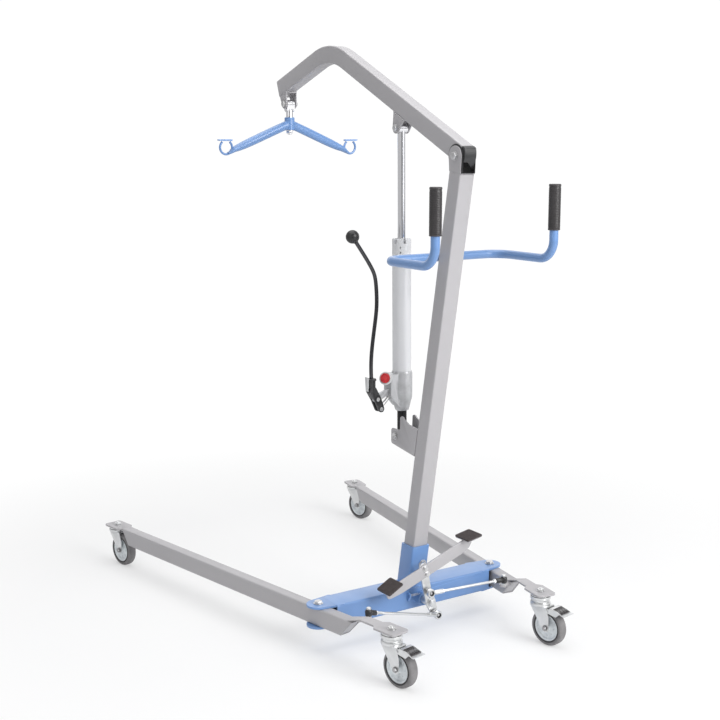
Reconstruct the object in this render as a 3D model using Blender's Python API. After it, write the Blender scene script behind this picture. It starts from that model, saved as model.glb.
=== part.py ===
"""Patient lift hoist: wheeled base with spreading legs, leaning mast, hydraulic pump and boom.

Object frame: +Z up, floor at z = 0, X = 0 is the symmetry plane, -Y is the lifting side (legs
and boom point that way).  The pieces are laid out from a point on the floor between the two leg
pivots, then everything is moved so that the origin is the middle of the footprint.  Metres.
"""
import math

import bmesh
import bpy
from mathutils import Matrix, Vector

# ---------------------------------------------------------------- driving dimensions
GAP = 0.0003
FOOTPRINT_SHIFT = Vector((0.0, 0.31054, 0.0))

LEG_PIVOT_X = 0.286
LEG_SPLAY = math.radians(9.57)
LEG_HALF_W = 0.017
LEG_Z0 = 0.0760
LEG_Z1 = 0.1238
LEG_WALL = 0.003
LEG_FRONT_TOP = -0.911
LEG_FRONT_BOTTOM = -0.879
LEG_REAR_TOP = 0.148
LEG_REAR_BOTTOM = 0.102

FRONT_SWIVEL = -0.963
REAR_SWIVEL = 0.2734
PLATE_HALF_W = 0.028
FRONT_PLATE_TOP = 0.1234
REAR_PLATE_TOP = 0.1405
PLATE_T = 0.005

BALL_B = 0.149
BALL_L = -0.040
BALL_Z = 0.1366

BEAM_HALF_X = 0.252
BEAM_HALF_Y = 0.040
BEAM_Z0 = 0.0700
BEAM_Z1 = 0.1300
CLEVIS_T = 0.0055
CLEVIS_R = 0.031
PIVOT_BOLT_R = 0.008

MAST_Y0 = -0.0108
MAST_LEAN = math.radians(10.28)
MAST_HALF = 0.0225
MAST_WALL = 0.003
MAST_TOP = 1.2597
SOCKET_HALF = 0.0275
SOCKET_TOP_Z = 0.2505

HINGE = Vector((0.0, 0.2145, 1.2810))
BOOM_BEND = Vector((0.0, -0.366, 1.567))
BOOM_TIP = Vector((0.0, -0.652, 1.4675))
BOOM_HALF_W = 0.018
BOOM_HALF_H = 0.024
BOOM_WALL = 0.0025
BOOM_BEND_R = 0.19
BOOM_RISE = 0.008
BOOM_REAR = 0.0097

ROD_PIN = Vector((0.0, -0.0420, 1.3495))
FOOT_PIN = Vector((0.0, -0.0312, 0.5367))
HANGER_PIN = Vector((0.0, -0.6160, 1.4230))

ROD_R = 0.0105
CYLINDER_R = 0.025
CYLINDER_BORE_R = 0.0118
COLLAR_TOP = 0.528
COLLAR_BASE = 0.480
CYLINDER_BASE = 0.176
ROD_LOW_END = 0.455
STUD_R = 0.0130

HUB_Z0 = 1.3475
HUB_Z1 = 1.3845
HUB_R = 0.015
HOOK_X = 0.212
HOOK_Z = 1.2975
HOOK_R = 0.0195
HOOK_WIRE_R = 0.0032

GRIP_X = 0.1805
GRIP_Y = 0.3507
GRIP_Z0 = 1.102
GRIP_Z1 = 1.214
GRIP_R = 0.015
BAR_R = 0.011
BAR_Y = 0.1415
BAR_Z = 1.030
BAR_BEND_R = 0.048

ROCKER = Vector((-0.0125, 0.0, 0.099))
ROCKER_TILT = math.radians(20.0)
CRANK_R = 0.035
CRANK_Y0 = 0.0860
CRANK_Y1 = 0.0910
PEDAL_Y0 = 0.0914
PEDAL_Y1 = 0.0974
JOINT_Y = 0.0990

WHEEL_R = 0.050
WHEEL_HALF_W = 0.0135
CASTER_TRAIL = 0.0306
CASTER_YAW = math.radians(11.0)
BRAKE_Y = 0.0370
BRAKE_Z = 0.0985

LEVER_Y = -0.033
LEVER_PIVOT = Vector((0.084, LEVER_Y, 0.645))
PLUNGER_PIN = Vector((0.073, LEVER_Y, 0.618))

ROUND = 24
SMALL_ROUND = 12

GREY = (0.46, 0.455, 0.46, 1.0)
BLUE = (0.16, 0.36, 0.72, 1.0)
ZINC = (0.62, 0.63, 0.64, 1.0)
CHROME = (0.80, 0.80, 0.82, 1.0)
BLACK = (0.02, 0.02, 0.022, 1.0)
WHITE = (0.82, 0.83, 0.84, 1.0)
CAST = (0.52, 0.53, 0.54, 1.0)
RED = (0.70, 0.05, 0.05, 1.0)
TYRE_GREY = (0.30, 0.30, 0.31, 1.0)
DISC_WHITE = (0.86, 0.88, 0.90, 1.0)


# ---------------------------------------------------------------- mesh helpers
def clear_scene():
    for obj in list(bpy.data.objects):
        bpy.data.objects.remove(obj, do_unlink=True)


def surface(name, colour, metallic, roughness):
    mat = bpy.data.materials.get(name)
    if mat is None:
        mat = bpy.data.materials.new(name)
        mat.use_nodes = True
    node = mat.node_tree.nodes["Principled BSDF"]
    node.inputs["Base Color"].default_value = colour
    node.inputs["Metallic"].default_value = metallic
    node.inputs["Roughness"].default_value = roughness
    mat.diffuse_color = colour
    return mat


def arc(cx, cy, radius, start_deg, end_deg, steps):
    pts = []
    for i in range(steps + 1):
        angle = math.radians(start_deg + (end_deg - start_deg) * i / steps)
        pts.append((cx + radius * math.cos(angle), cy + radius * math.sin(angle)))
    return pts


def circle(cx, cy, radius, steps=ROUND):
    return arc(cx, cy, radius, 0.0, 360.0 * (steps - 1) / steps, steps - 1)


def rounded_rect(half_x, half_y, radius, steps=2):
    pts = arc(half_x - radius, half_y - radius, radius, 0, 90, steps)
    pts += arc(-half_x + radius, half_y - radius, radius, 90, 180, steps)
    pts += arc(-half_x + radius, -half_y + radius, radius, 180, 270, steps)
    pts += arc(half_x - radius, -half_y + radius, radius, 270, 360, steps)
    return pts


def hull_outline(discs, steps=14):
    """Convex outline round a list of (x, y, radius) discs."""
    pts = []
    for x, y, radius in discs:
        pts += circle(x, y, radius, steps)
    pts = sorted(set((round(x, 7), round(y, 7)) for x, y in pts))
    chains = []
    for order in (pts, pts[::-1]):
        chain = []
        for p in order:
            while len(chain) > 1 and turn(chain[-2], chain[-1], p) <= 1e-10:
                chain.pop()
            chain.append(p)
        chains.append(chain[:-1])
    return chains[0] + chains[1]


def turn(a, b, c):
    return (b[0] - a[0]) * (c[1] - a[1]) - (b[1] - a[1]) * (c[0] - a[0])


def prism(outline, low, high, place):
    """Extrude a closed outline; place(u, v, w) gives the point for outline (u, v) at depth w."""
    bm = bmesh.new()
    base = [bm.verts.new(place(u, v, low)) for u, v in outline]
    top = [bm.verts.new(place(u, v, high)) for u, v in outline]
    bm.faces.new(base[::-1])
    bm.faces.new(top)
    count = len(outline)
    for i in range(count):
        j = (i + 1) % count
        bm.faces.new((base[i], base[j], top[j], top[i]))
    return finished(bm)


def along_x(u, v, w):
    return Vector((w, u, v))


def along_y(u, v, w):
    return Vector((u, w, v))


def along_z(u, v, w):
    return Vector((u, v, w))


def box(x0, x1, y0, y1, z0, z1):
    return prism([(x0, y0), (x1, y0), (x1, y1), (x0, y1)], z0, z1, along_z)


def finished(bm):
    bmesh.ops.recalc_face_normals(bm, faces=bm.faces)
    return bm


def basis(direction):
    """Rotation whose +Z points along the given direction."""
    return Vector(direction).to_track_quat("Z", "Y").to_matrix().to_4x4()


def ring_points(radius, steps, sides):
    """Points of a circle, or of a polygon whose corners lie on it."""
    pts = circle(0, 0, radius, steps)
    if sides == 0:
        return pts
    flat = []
    for x, y in pts:
        angle = math.atan2(y, x) % (2 * math.pi / sides) - math.pi / sides
        scale = math.cos(math.pi / sides) / math.cos(angle)
        flat.append((x * scale, y * scale))
    return flat


def lathe(profile, steps=ROUND):
    """Spin a closed (radius, height[, sides]) profile about +Z; points on the axis become poles."""
    bm = bmesh.new()
    rings = []
    for radius, height, *sides in profile:
        if radius < 1e-7:
            rings.append([bm.verts.new((0, 0, height))])
        else:
            flat = ring_points(radius, steps, sides[0] if sides else 0)
            rings.append([bm.verts.new((x, y, height)) for x, y in flat])
    count = len(rings)
    for k in range(count):
        join_rings(bm, rings[k], rings[(k + 1) % count], steps)
    return finished(bm)


def join_rings(bm, a, b, steps):
    if len(a) == 1 and len(b) == 1:
        return
    for i in range(steps):
        j = (i + 1) % steps
        if len(a) == 1:
            bm.faces.new((a[0], b[i], b[j]))
        elif len(b) == 1:
            bm.faces.new((a[i], b[0], a[j]))
        else:
            bm.faces.new((a[i], b[i], b[j], a[j]))


def rod(start, end, radius, steps=SMALL_ROUND):
    """Plain round bar between two points."""
    start = Vector(start)
    axis = Vector(end) - start
    bm = lathe([(0, 0), (radius, 0), (radius, axis.length), (0, axis.length)], steps)
    bm.transform(Matrix.Translation(start) @ basis(axis))
    return bm


def turned(start, direction, profile, steps=ROUND):
    """Lathe profile set on a start point, its axis along direction."""
    bm = lathe(profile, steps)
    bm.transform(Matrix.Translation(Vector(start)) @ basis(direction))
    return bm


def nut(across, low, high):
    """Profile points of a hexagon from low to high, its far edge chamfered."""
    radius = across / math.sqrt(3.0)
    step = (high - low) * 0.25
    return [(radius, low, 6), (radius, high - step, 6), (radius * 0.86, high, 6)]


def bolt(start, direction, radius, length, across, head):
    """Hex head before start, shank, and a nut past the far end; one turned piece."""
    far = [(r, -h, n) for r, h, n in reversed(nut(across, 0.0, head))]
    profile = [(0, -head)] + far + [(radius, 0), (radius, length)]
    profile += nut(across, length, length + head) + [(0, length + head)]
    return turned(start, direction, profile, 12)


def tube_path(points, radius_bend, steps):
    """Replace inner corners of a polyline by arcs."""
    pts = [Vector(p) for p in points]
    path = [pts[0]]
    for before, corner, after in zip(pts, pts[1:], pts[2:]):
        a = (before - corner).normalized()
        b = (after - corner).normalized()
        half = a.angle(b) / 2.0
        reach = radius_bend / math.tan(half)
        centre = corner + (a + b).normalized() * (radius_bend / math.sin(half))
        start = corner + a * reach - centre
        end = corner + b * reach - centre
        for i in range(steps + 1):
            path.append(centre + start.slerp(end, i / steps).normalized() * radius_bend)
    path.append(pts[-1])
    return path


def sweep(path, section, side_axis, inner=None):
    """Sweep a closed 2-D section along a path; section x follows side_axis where it can."""
    bm = bmesh.new()
    side = Vector(side_axis)
    loops = [[], []]
    for i, p in enumerate(path):
        ahead = path[min(i + 1, len(path) - 1)] - path[max(i - 1, 0)]
        tangent = ahead.normalized()
        side = (side - tangent * side.dot(tangent)).normalized()
        up = tangent.cross(side)
        for k, shape in enumerate((section, inner)):
            if shape:
                loops[k].append([bm.verts.new(p + side * u + up * v) for u, v in shape])
    for rings in loops:
        if rings:
            skin(bm, rings)
    close_ends(bm, loops)
    return finished(bm)


def skin(bm, rings):
    count = len(rings[0])
    for a, b in zip(rings, rings[1:]):
        for i in range(count):
            j = (i + 1) % count
            bm.faces.new((a[i], a[j], b[j], b[i]))


def close_ends(bm, loops):
    outer, inner = loops
    for index in (0, -1):
        if inner:
            count = len(outer[index])
            for i in range(count):
                j = (i + 1) % count
                bm.faces.new((outer[index][i], outer[index][j], inner[index][j], inner[index][i]))
        else:
            bm.faces.new(outer[index])


def make(name, bm):
    mesh = bpy.data.meshes.new(name)
    bm.to_mesh(mesh)
    bm.free()
    obj = bpy.data.objects.new(name, mesh)
    bpy.context.scene.collection.objects.link(obj)
    return obj


def combine(obj, bm, operation):
    """Apply one exact Boolean to obj with the given solid and drop the tool."""
    tool = make("work_tool", bm)
    mod = obj.modifiers.new("combine", "BOOLEAN")
    mod.operation = operation
    mod.solver = "EXACT"
    mod.object = tool
    bpy.context.view_layer.update()
    graph = bpy.context.evaluated_depsgraph_get()
    mesh = bpy.data.meshes.new_from_object(obj.evaluated_get(graph))
    obj.modifiers.remove(mod)
    old = obj.data
    obj.data = mesh
    bpy.data.meshes.remove(old)
    bpy.data.objects.remove(tool, do_unlink=True)
    return obj


def join(obj, bm):
    return combine(obj, bm, "UNION")


def cut(obj, bm):
    return combine(obj, bm, "DIFFERENCE")


def settle(obj, name, mat, origin=(0, 0, 0), sharp=30.0):
    """Name the piece, weld it clean, set its origin, material and shading."""
    bm = bmesh.new()
    bm.from_mesh(obj.data)
    bmesh.ops.remove_doubles(bm, verts=bm.verts, dist=0.00002)
    bmesh.ops.dissolve_limit(bm, angle_limit=math.radians(0.2), verts=bm.verts, edges=bm.edges)
    bmesh.ops.triangulate(bm, faces=[f for f in bm.faces if len(f.verts) > 4])
    bmesh.ops.recalc_face_normals(bm, faces=bm.faces)
    bm.transform(Matrix.Translation(-Vector(origin)))
    bm.to_mesh(obj.data)
    bm.free()
    obj.name = name
    obj.data.name = name
    obj.location = origin
    obj.data.materials.clear()
    obj.data.materials.append(mat)
    obj.data.shade_smooth()
    obj.data.set_sharp_from_angle(angle=math.radians(sharp))
    return obj


def piece(name, bm, mat, origin=(0, 0, 0)):
    return settle(make(name, bm), name, mat, origin)


# ---------------------------------------------------------------- local frames
def leg_frame(side):
    """Local x points outward, y backward along the leg, z up."""
    mirror = Matrix.Diagonal((side, 1, 1, 1))
    place = Matrix.Translation((side * LEG_PIVOT_X, 0, 0))
    return place @ Matrix.Rotation(side * LEG_SPLAY, 4, "Z") @ mirror


def mast_frame():
    return Matrix.Translation((0, MAST_Y0, 0)) @ Matrix.Rotation(-MAST_LEAN, 4, "X")


def pump_frame():
    axis = ROD_PIN - FOOT_PIN
    return Matrix.Translation(FOOT_PIN) @ Matrix.Rotation(math.atan2(-axis.y, axis.z), 4, "X")


def rocker_frame():
    return Matrix.Translation(ROCKER) @ Matrix.Rotation(ROCKER_TILT, 4, "Y")


def boom_rear_frame():
    """Origin on the hinge; y runs rearward along the rear section, z square to it."""
    ahead = rear_start() - BOOM_BEND
    return Matrix.Translation(HINGE) @ Matrix.Rotation(math.atan2(ahead.z, ahead.y), 4, "X")


def boom_front_frame():
    """Origin at the tip centre; y runs rearward along the front section."""
    back = BOOM_BEND - BOOM_TIP
    return Matrix.Translation(BOOM_TIP) @ Matrix.Rotation(math.atan2(back.z, back.y), 4, "X")


def rear_start():
    slope = (BOOM_BEND - HINGE).normalized()
    up = Vector((0, slope.z, -slope.y))
    return HINGE + up * BOOM_RISE


def moved(bm, matrix):
    bm.transform(matrix)
    return finished(bm)


# ---------------------------------------------------------------- base
def beam_outline():
    """Plan outline of the clevis plates: full depth, drawn in to a round end at each pivot."""
    right = hull_outline([(LEG_PIVOT_X, 0, CLEVIS_R), (BEAM_HALF_X - 0.02, 0.034, 0.006),
                          (BEAM_HALF_X - 0.02, -0.034, 0.006)])
    return right


def build_base(mats):
    beam = make("beam", prism(rounded_rect(BEAM_HALF_Y, 0.030, 0.005), -BEAM_HALF_X, BEAM_HALF_X,
                              lambda u, v, w: Vector((w, u, v + 0.100))))
    inner = prism(rounded_rect(BEAM_HALF_Y - 0.004, 0.026, 0.003), -0.3, 0.3,
                  lambda u, v, w: Vector((w, u, v + 0.100)))
    cut(beam, inner)
    for side in (1, -1):
        for z0 in (BEAM_Z0 + 0.0002, BEAM_Z1 - CLEVIS_T - 0.0002):
            plate = prism(beam_outline(), z0, z0 + CLEVIS_T, along_z)
            join(beam, moved(plate, Matrix.Diagonal((side, 1, 1, 1))))
        cut(beam, rod((side * LEG_PIVOT_X, 0, 0.05), (side * LEG_PIVOT_X, 0, 0.15), PIVOT_BOLT_R + 0.0003))
    join(beam, turned((ROCKER.x, BEAM_HALF_Y - 0.002, ROCKER.z), (0, 1, 0),
                      [(0, 0), (0.0175, 0), (0.0175, 0.020), (0.0165, 0.021), (0, 0.021)], 28))
    cut(beam, rod((ROCKER.x, 0.030, ROCKER.z), (ROCKER.x, 0.08, ROCKER.z), 0.0073))
    lug = prism(hull_outline([(0.046, 0.112, 0.007), (0.042, 0.100, 0.004), (0.038, 0.118, 0.003)]),
                0.026, 0.030, along_x)
    join(beam, lug)
    cut(beam, rod((0.02, 0.0475, 0.1125), (0.04, 0.0475, 0.1125), 0.0030, 12))
    settle(beam, "base_beam", mats["blue"])
    for side, tag in ((1, "px"), (-1, "nx")):
        pin = bolt((side * LEG_PIVOT_X, 0, BEAM_Z1 + GAP), (0, 0, -1), PIVOT_BOLT_R,
                   BEAM_Z1 - BEAM_Z0 + 2 * GAP, 0.021, 0.0060)
        piece("pivot_bolt_" + tag, pin, mats["zinc"], (side * LEG_PIVOT_X, 0, BEAM_Z1))


def build_rocker_axle(mats):
    y0 = BEAM_HALF_Y - 0.008
    boss = BEAM_HALF_Y + 0.0193 - y0
    plate = CRANK_Y1 + GAP - y0
    profile = [(0, 0), (0.0070, 0), (0.0070, boss), (0.0115, boss), (0.0115, CRANK_Y0 - GAP - y0),
               (0.0070, CRANK_Y0 - GAP - y0), (0.0070, plate)]
    profile += nut(0.0190, plate, plate + 0.0080) + [(0, plate + 0.0080)]
    piece("rocker_axle", turned((ROCKER.x, y0, ROCKER.z), (0, 1, 0), profile, 24), mats["zinc"], ROCKER)


def mast_shell(half, wall, low_z, high_z, high_square, radius):
    """Square tube in the mast frame; low end and optionally the high end cut level."""
    bm = bmesh.new()
    loops = []
    for size, r in ((half, radius), (half - wall, max(radius - wall, 0.001))):
        rings = []
        for z, level in ((low_z, True), (high_z, not high_square)):
            ring = []
            for u, v in rounded_rect(size, size, r):
                s = (z + v * math.sin(MAST_LEAN)) / math.cos(MAST_LEAN) if level else z
                ring.append(bm.verts.new((u, v, s)))
            rings.append(ring)
        skin(bm, rings)
        loops.append(rings)
    close_ends(bm, loops)
    return moved(bm, mast_frame())


def build_mast(mats):
    socket = make("socket", mast_shell(SOCKET_HALF, SOCKET_HALF - MAST_HALF - 0.0004,
                                       BEAM_Z1 + GAP, SOCKET_TOP_Z, False, 0.006))
    clamp = mast_frame() @ Vector((-0.010, SOCKET_HALF - 0.0005, 0.206))
    rear = (mast_frame().to_3x3() @ Vector((0, 1, 0))).normalized()
    join(socket, turned(clamp, rear, [(0, 0), (0.011, 0), (0.011, 0.002), (0.0075, 0.0025),
                                      (0.0075, 0.009), (0.006, 0.0105), (0, 0.0105)], 24))
    settle(socket, "mast_socket", mats["blue"])
    tube = mast_shell(MAST_HALF, MAST_WALL, BEAM_Z1 + 0.0012, MAST_TOP, True, 0.004)
    piece("mast_tube", tube, mats["grey"])


def hinge_in_mast():
    return mast_frame().inverted() @ HINGE


def build_mast_head(mats):
    centre = hinge_in_mast()
    low = MAST_TOP + GAP
    outline = hull_outline([(-MAST_HALF + 0.001, low + 0.001, 0.001),
                            (MAST_HALF - 0.001, low + 0.001, 0.001),
                            (centre.y, centre.z, 0.0250)])
    head = make("head", moved(prism(outline, -MAST_HALF, MAST_HALF, along_x), mast_frame()))
    slot = moved(box(-0.0200, 0.0200, -0.08, 0.08, low + 0.0035, low + 0.12), mast_frame())
    cut(head, slot)
    cut(head, rod(HINGE - Vector((0.05, 0, 0)), HINGE + Vector((0.05, 0, 0)), 0.0053))
    settle(head, "mast_head", mats["grey"])
    base = low + 0.0035 + GAP
    arch = hull_outline([(-MAST_HALF + 0.0040, base + 0.001, 0.001),
                         (MAST_HALF + 0.0035, base + 0.001, 0.001),
                         (centre.y, centre.z, 0.0292)])
    liner = make("liner", moved(prism(arch, -0.0197, 0.0197, along_x), mast_frame()))
    gap = moved(box(-0.0183, 0.0183, -0.08, 0.08, base + 0.0015, base + 0.12), mast_frame())
    cut(liner, gap)
    cut(liner, rod(HINGE - Vector((0.05, 0, 0)), HINGE + Vector((0.05, 0, 0)), 0.0053))
    settle(liner, "head_liner", mats["black"])
    pin = bolt(HINGE + Vector((MAST_HALF + GAP, 0, 0)), (-1, 0, 0), 0.0050, 2 * MAST_HALF + 2 * GAP,
               0.019, 0.0070)
    piece("boom_pivot_bolt", pin, mats["zinc"], HINGE)


def mast_front_y(z):
    return MAST_Y0 + z * math.tan(MAST_LEAN) - MAST_HALF / math.cos(MAST_LEAN)


def bracket_outline():
    top = 0.5745
    low = 0.4985
    pts = [(mast_front_y(top) - GAP * 2, top), (0.030, 0.5795)]
    pts += [(0.0100, 0.5880), (0.0060, 0.5935), (0.0000, 0.5955), (-0.0060, 0.5935), (-0.0095, 0.5885)]
    pts += [(-0.0100, 0.5590), (-0.0120, 0.5565), (-0.0420, 0.5565), (-0.0480, 0.5540)]
    pts += [(-0.0510, 0.5480), (-0.0510, 0.5240), (-0.0480, 0.5160), (-0.0400, 0.5105)]
    pts += [(mast_front_y(low) - GAP * 2, low)]
    return pts


def build_pump_bracket(mats):
    half = MAST_HALF - 0.0005
    bracket = make("bracket", prism(bracket_outline(), -half, half, along_x))
    channel = [(-0.10, 0.40), (mast_front_y(0.40) - 0.0045, 0.40), (mast_front_y(0.70) - 0.0045, 0.70),
               (-0.10, 0.70)]
    cut(bracket, prism(channel, -half + 0.0038, half - 0.0038, along_x))
    cut(bracket, rod((-0.05, -0.0008, 0.5865), (0.05, -0.0008, 0.5865), 0.0032, 16))
    cut(bracket, rod(FOOT_PIN - Vector((0.05, 0, 0)), FOOT_PIN + Vector((0.05, 0, 0)), 0.0053))
    settle(bracket, "pump_bracket", mats["grey"])
    pin = bolt(FOOT_PIN + Vector((half + GAP, 0, 0)), (-1, 0, 0), 0.0050, 2 * half + 2 * GAP, 0.017, 0.0060)
    piece("foot_pin", pin, mats["zinc"], FOOT_PIN)


def build_handlebar(mats):
    corners = []
    for side in (1, -1):
        run = [(side * GRIP_X, GRIP_Y, GRIP_Z1 - 0.006), (side * GRIP_X, GRIP_Y, BAR_Z),
               (side * GRIP_X, BAR_Y, BAR_Z)]
        corners += run if side == 1 else run[::-1]
    path = tube_path(corners, BAR_BEND_R, 5)
    bar = sweep(path, circle(0, 0, BAR_R, 12), (1, 0, 0), circle(0, 0, BAR_R - 0.002, 12))
    piece("handlebar", bar, mats["blue"])
    profile = [(BAR_R + GAP, 0), (GRIP_R - 0.001, 0), (GRIP_R, 0.0015), (GRIP_R, 0.110),
               (GRIP_R - 0.002, 0.112), (0, 0.112), (0, 0.1075), (BAR_R + GAP, 0.1075)]
    for side, tag in ((1, "px"), (-1, "nx")):
        piece("grip_" + tag, turned((side * GRIP_X, GRIP_Y, GRIP_Z0), (0, 0, 1), profile), mats["rubber"])


# ---------------------------------------------------------------- boom and hanger
def build_boom(mats):
    frame = boom_rear_frame()
    start = frame @ Vector((0, BOOM_REAR, BOOM_RISE))
    path = tube_path([start, BOOM_BEND, BOOM_TIP], BOOM_BEND_R, 8)
    outer = rounded_rect(BOOM_HALF_W, BOOM_HALF_H, 0.004)
    hollow = rounded_rect(BOOM_HALF_W - BOOM_WALL, BOOM_HALF_H - BOOM_WALL, 0.0015)
    tube = make("boom", sweep(path, outer, (1, 0, 0), hollow))
    cut(tube, rod(HINGE - Vector((0.05, 0, 0)), HINGE + Vector((0.05, 0, 0)), 0.0053))
    settle(tube, "boom_tube", mats["grey"], HINGE)
    top = BOOM_RISE + BOOM_HALF_H - 0.0003
    low = BOOM_RISE - BOOM_HALF_H + 0.0003
    y0 = BOOM_REAR + GAP
    outline = [(y0, low), (0.0300, low), (0.0325, low + 0.003), (0.0300, 0.010), (0.0262, 0.0215),
               (0.0215, 0.0290), (0.0160, top), (y0, top)]
    cap = moved(prism(outline, -0.0178, 0.0178, along_x), frame)
    piece("boom_end_cap", cap, mats["black"], HINGE)


def hanging_bracket(frame, pin, reach, thickness, radius, pin_radius):
    """Folded channel under the boom with two round-nosed cheeks carrying a cross pin."""
    centre = frame.inverted() @ pin
    top = -BOOM_HALF_H - GAP + reach[2]
    outline = hull_outline([(reach[0], top - 0.001, 0.001), (reach[1], top - 0.001, 0.001),
                            (centre.y, centre.z, radius)])
    body = make("bracket", moved(prism(outline, -BOOM_HALF_W, BOOM_HALF_W, along_x), frame))
    inner = BOOM_HALF_W - thickness
    cut(body, moved(box(-inner, inner, -2, 2, -0.2, top - 0.0030), frame))
    cut(body, rod(pin - Vector((0.05, 0, 0)), pin + Vector((0.05, 0, 0)), pin_radius + 0.0003))
    return body


def build_boom_brackets(mats):
    rear = hanging_bracket(boom_rear_frame(), ROD_PIN, (-0.288, -0.238, BOOM_RISE), 0.0035, 0.0145, 0.005)
    settle(rear, "rod_bracket", mats["grey"], HINGE)
    front = hanging_bracket(boom_front_frame(), HANGER_PIN, (0.003, 0.044, 0.0), 0.0035, 0.0135, 0.005)
    settle(front, "hanger_bracket", mats["grey"], HINGE)
    for name, pin in (("rod_pin", ROD_PIN), ("hanger_pin", HANGER_PIN)):
        mesh = bolt(pin + Vector((BOOM_HALF_W + GAP, 0, 0)), (-1, 0, 0), 0.0050,
                    2 * BOOM_HALF_W + 2 * GAP, 0.017, 0.0055)
        piece(name, mesh, mats["zinc"], pin)


def build_spindle(mats):
    pin = HANGER_PIN
    foot = HUB_Z1 + GAP
    seat = HUB_Z0 - GAP
    far = nut(0.0190, -seat, 0.0110 - seat)
    profile = [(0, seat - 0.0110)] + [(r, -h, n) for r, h, n in reversed(far)]
    profile += [(0.0060, seat), (0.0060, foot), (0.0105, foot), (0.0105, 1.4080),
                (0.0085, 1.4110), (0, 1.4110)]
    spindle = make("spindle", lathe(profile, 24))
    spindle.data.transform(Matrix.Translation((0, pin.y, 0)))
    eye = prism(hull_outline([(pin.y, pin.z, 0.0120), (pin.y, pin.z - 0.014, 0.0090)]),
                -0.0125, 0.0125, along_x)
    join(spindle, eye)
    cut(spindle, rod(pin - Vector((0.05, 0, 0)), pin + Vector((0.05, 0, 0)), 0.0053))
    settle(spindle, "hanger_spindle", mats["chrome"], pin)


def spreader_arm(side, axis_y):
    """Round arm flattening and narrowing towards the hook."""
    stations = [(0.006, 1.3640, 0.0125, 0.0125), (0.060, 1.3425, 0.0128, 0.0128),
                (0.130, 1.3140, 0.0122, 0.0122), (0.165, 1.3000, 0.0105, 0.0128),
                (0.186, 1.2915, 0.0078, 0.0135), (0.198, 1.2840, 0.0048, 0.0120), (0.206, 1.2805, 0.0036, 0.0085)]
    bm = bmesh.new()
    rings = []
    for i, (x, z, tall, deep) in enumerate(stations):
        a = stations[max(i - 1, 0)]
        b = stations[min(i + 1, len(stations) - 1)]
        run = Vector((b[0] - a[0], 0, b[1] - a[1])).normalized()
        up = Vector((-run.z, 0, run.x))
        ring = []
        for u, v in circle(0, 0, 1.0, 12):
            offset = Vector((x, 0, z)) + up * (v * tall) + Vector((0, u * deep, 0))
            ring.append(bm.verts.new((side * offset.x, axis_y + offset.y, offset.z)))
        rings.append(ring)
    skin(bm, rings)
    bm.faces.new(rings[0])
    bm.faces.new(rings[-1])
    return finished(bm)


def hook_ring(side, axis_y):
    """Open ring of round bar, mouth at the top."""
    path = []
    for i in range(15):
        angle = math.radians(128.0 + (412.0 - 128.0) * i / 14)
        path.append(Vector((side * HOOK_X + side * HOOK_R * math.cos(angle), axis_y,
                            HOOK_Z + HOOK_R * math.sin(angle))))
    return sweep(path, circle(0, 0, HOOK_WIRE_R, 8), (0, 1, 0))


def build_spreader(mats):
    axis_y = HANGER_PIN.y
    profile = [(0, HUB_Z0), (HUB_R - 0.001, HUB_Z0), (HUB_R, HUB_Z0 + 0.001), (HUB_R, HUB_Z1 - 0.001),
               (HUB_R - 0.001, HUB_Z1), (0, HUB_Z1)]
    bar = make("spreader", lathe(profile))
    bar.data.transform(Matrix.Translation((0, axis_y, 0)))
    for side in (1, -1):
        join(bar, spreader_arm(side, axis_y))
        join(bar, hook_ring(side, axis_y))
    cut(bar, rod((0, axis_y, 1.30), (0, axis_y, 1.42), 0.0064, 32))
    settle(bar, "spreader_bar", mats["blue"], (0, axis_y, HUB_Z1))
    for side, tag in ((1, "px"), (-1, "nx")):
        z = HOOK_Z + HOOK_R + 0.0012
        outline = hull_outline([(0.1945, z, 0.0026), (0.2320, z, 0.0020), (0.2350, z + 0.0005, 0.0018)], 8)
        latch = prism([(side * u, v) for u, v in outline], axis_y - 0.0045, axis_y + 0.0045, along_y)
        piece("latch_" + tag, latch, mats["blue"], (side * 0.1945, axis_y, z))


# ---------------------------------------------------------------- pump
def build_piston_rod(mats):
    reach = (ROD_PIN - FOOT_PIN).length
    body = make("rod", turned((0, 0, ROD_LOW_END), (0, 0, 1),
                              [(0, 0), (ROD_R - 0.001, 0), (ROD_R, 0.001),
                               (ROD_R, reach - ROD_LOW_END), (0, reach - ROD_LOW_END)]))
    eye = prism(circle(0, reach, 0.0130, 32), -0.0135, 0.0135, along_x)
    join(body, eye)
    cut(body, rod((-0.05, 0, reach), (0.05, 0, reach), 0.0053))
    body.data.transform(pump_frame())
    settle(body, "piston_rod", mats["chrome"], ROD_PIN)


def build_cylinder(mats):
    bore = CYLINDER_BORE_R
    profile = [(0, CYLINDER_BASE), (CYLINDER_R, CYLINDER_BASE), (CYLINDER_R, COLLAR_BASE - GAP),
               (bore, COLLAR_BASE - GAP), (bore, 0.205), (0, 0.205)]
    piece("pump_cylinder", moved(lathe(profile, 36), pump_frame()), mats["white"], FOOT_PIN)
    profile = [(bore - 0.0006, COLLAR_BASE), (CYLINDER_R, COLLAR_BASE), (CYLINDER_R, COLLAR_TOP - 0.001),
               (CYLINDER_R - 0.001, COLLAR_TOP), (bore - 0.0006, COLLAR_TOP)]
    collar = make("collar", lathe(profile, 36))
    for k in range(3):
        angle = math.radians(15 + 60 * k)
        notch = moved(box(-0.03, 0.03, -0.0035, 0.0035, COLLAR_TOP - 0.013, COLLAR_TOP + 0.01),
                      Matrix.Rotation(angle, 4, "Z"))
        cut(collar, notch)
    collar.data.transform(pump_frame())
    settle(collar, "gland_collar", mats["white"], FOOT_PIN)


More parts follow.
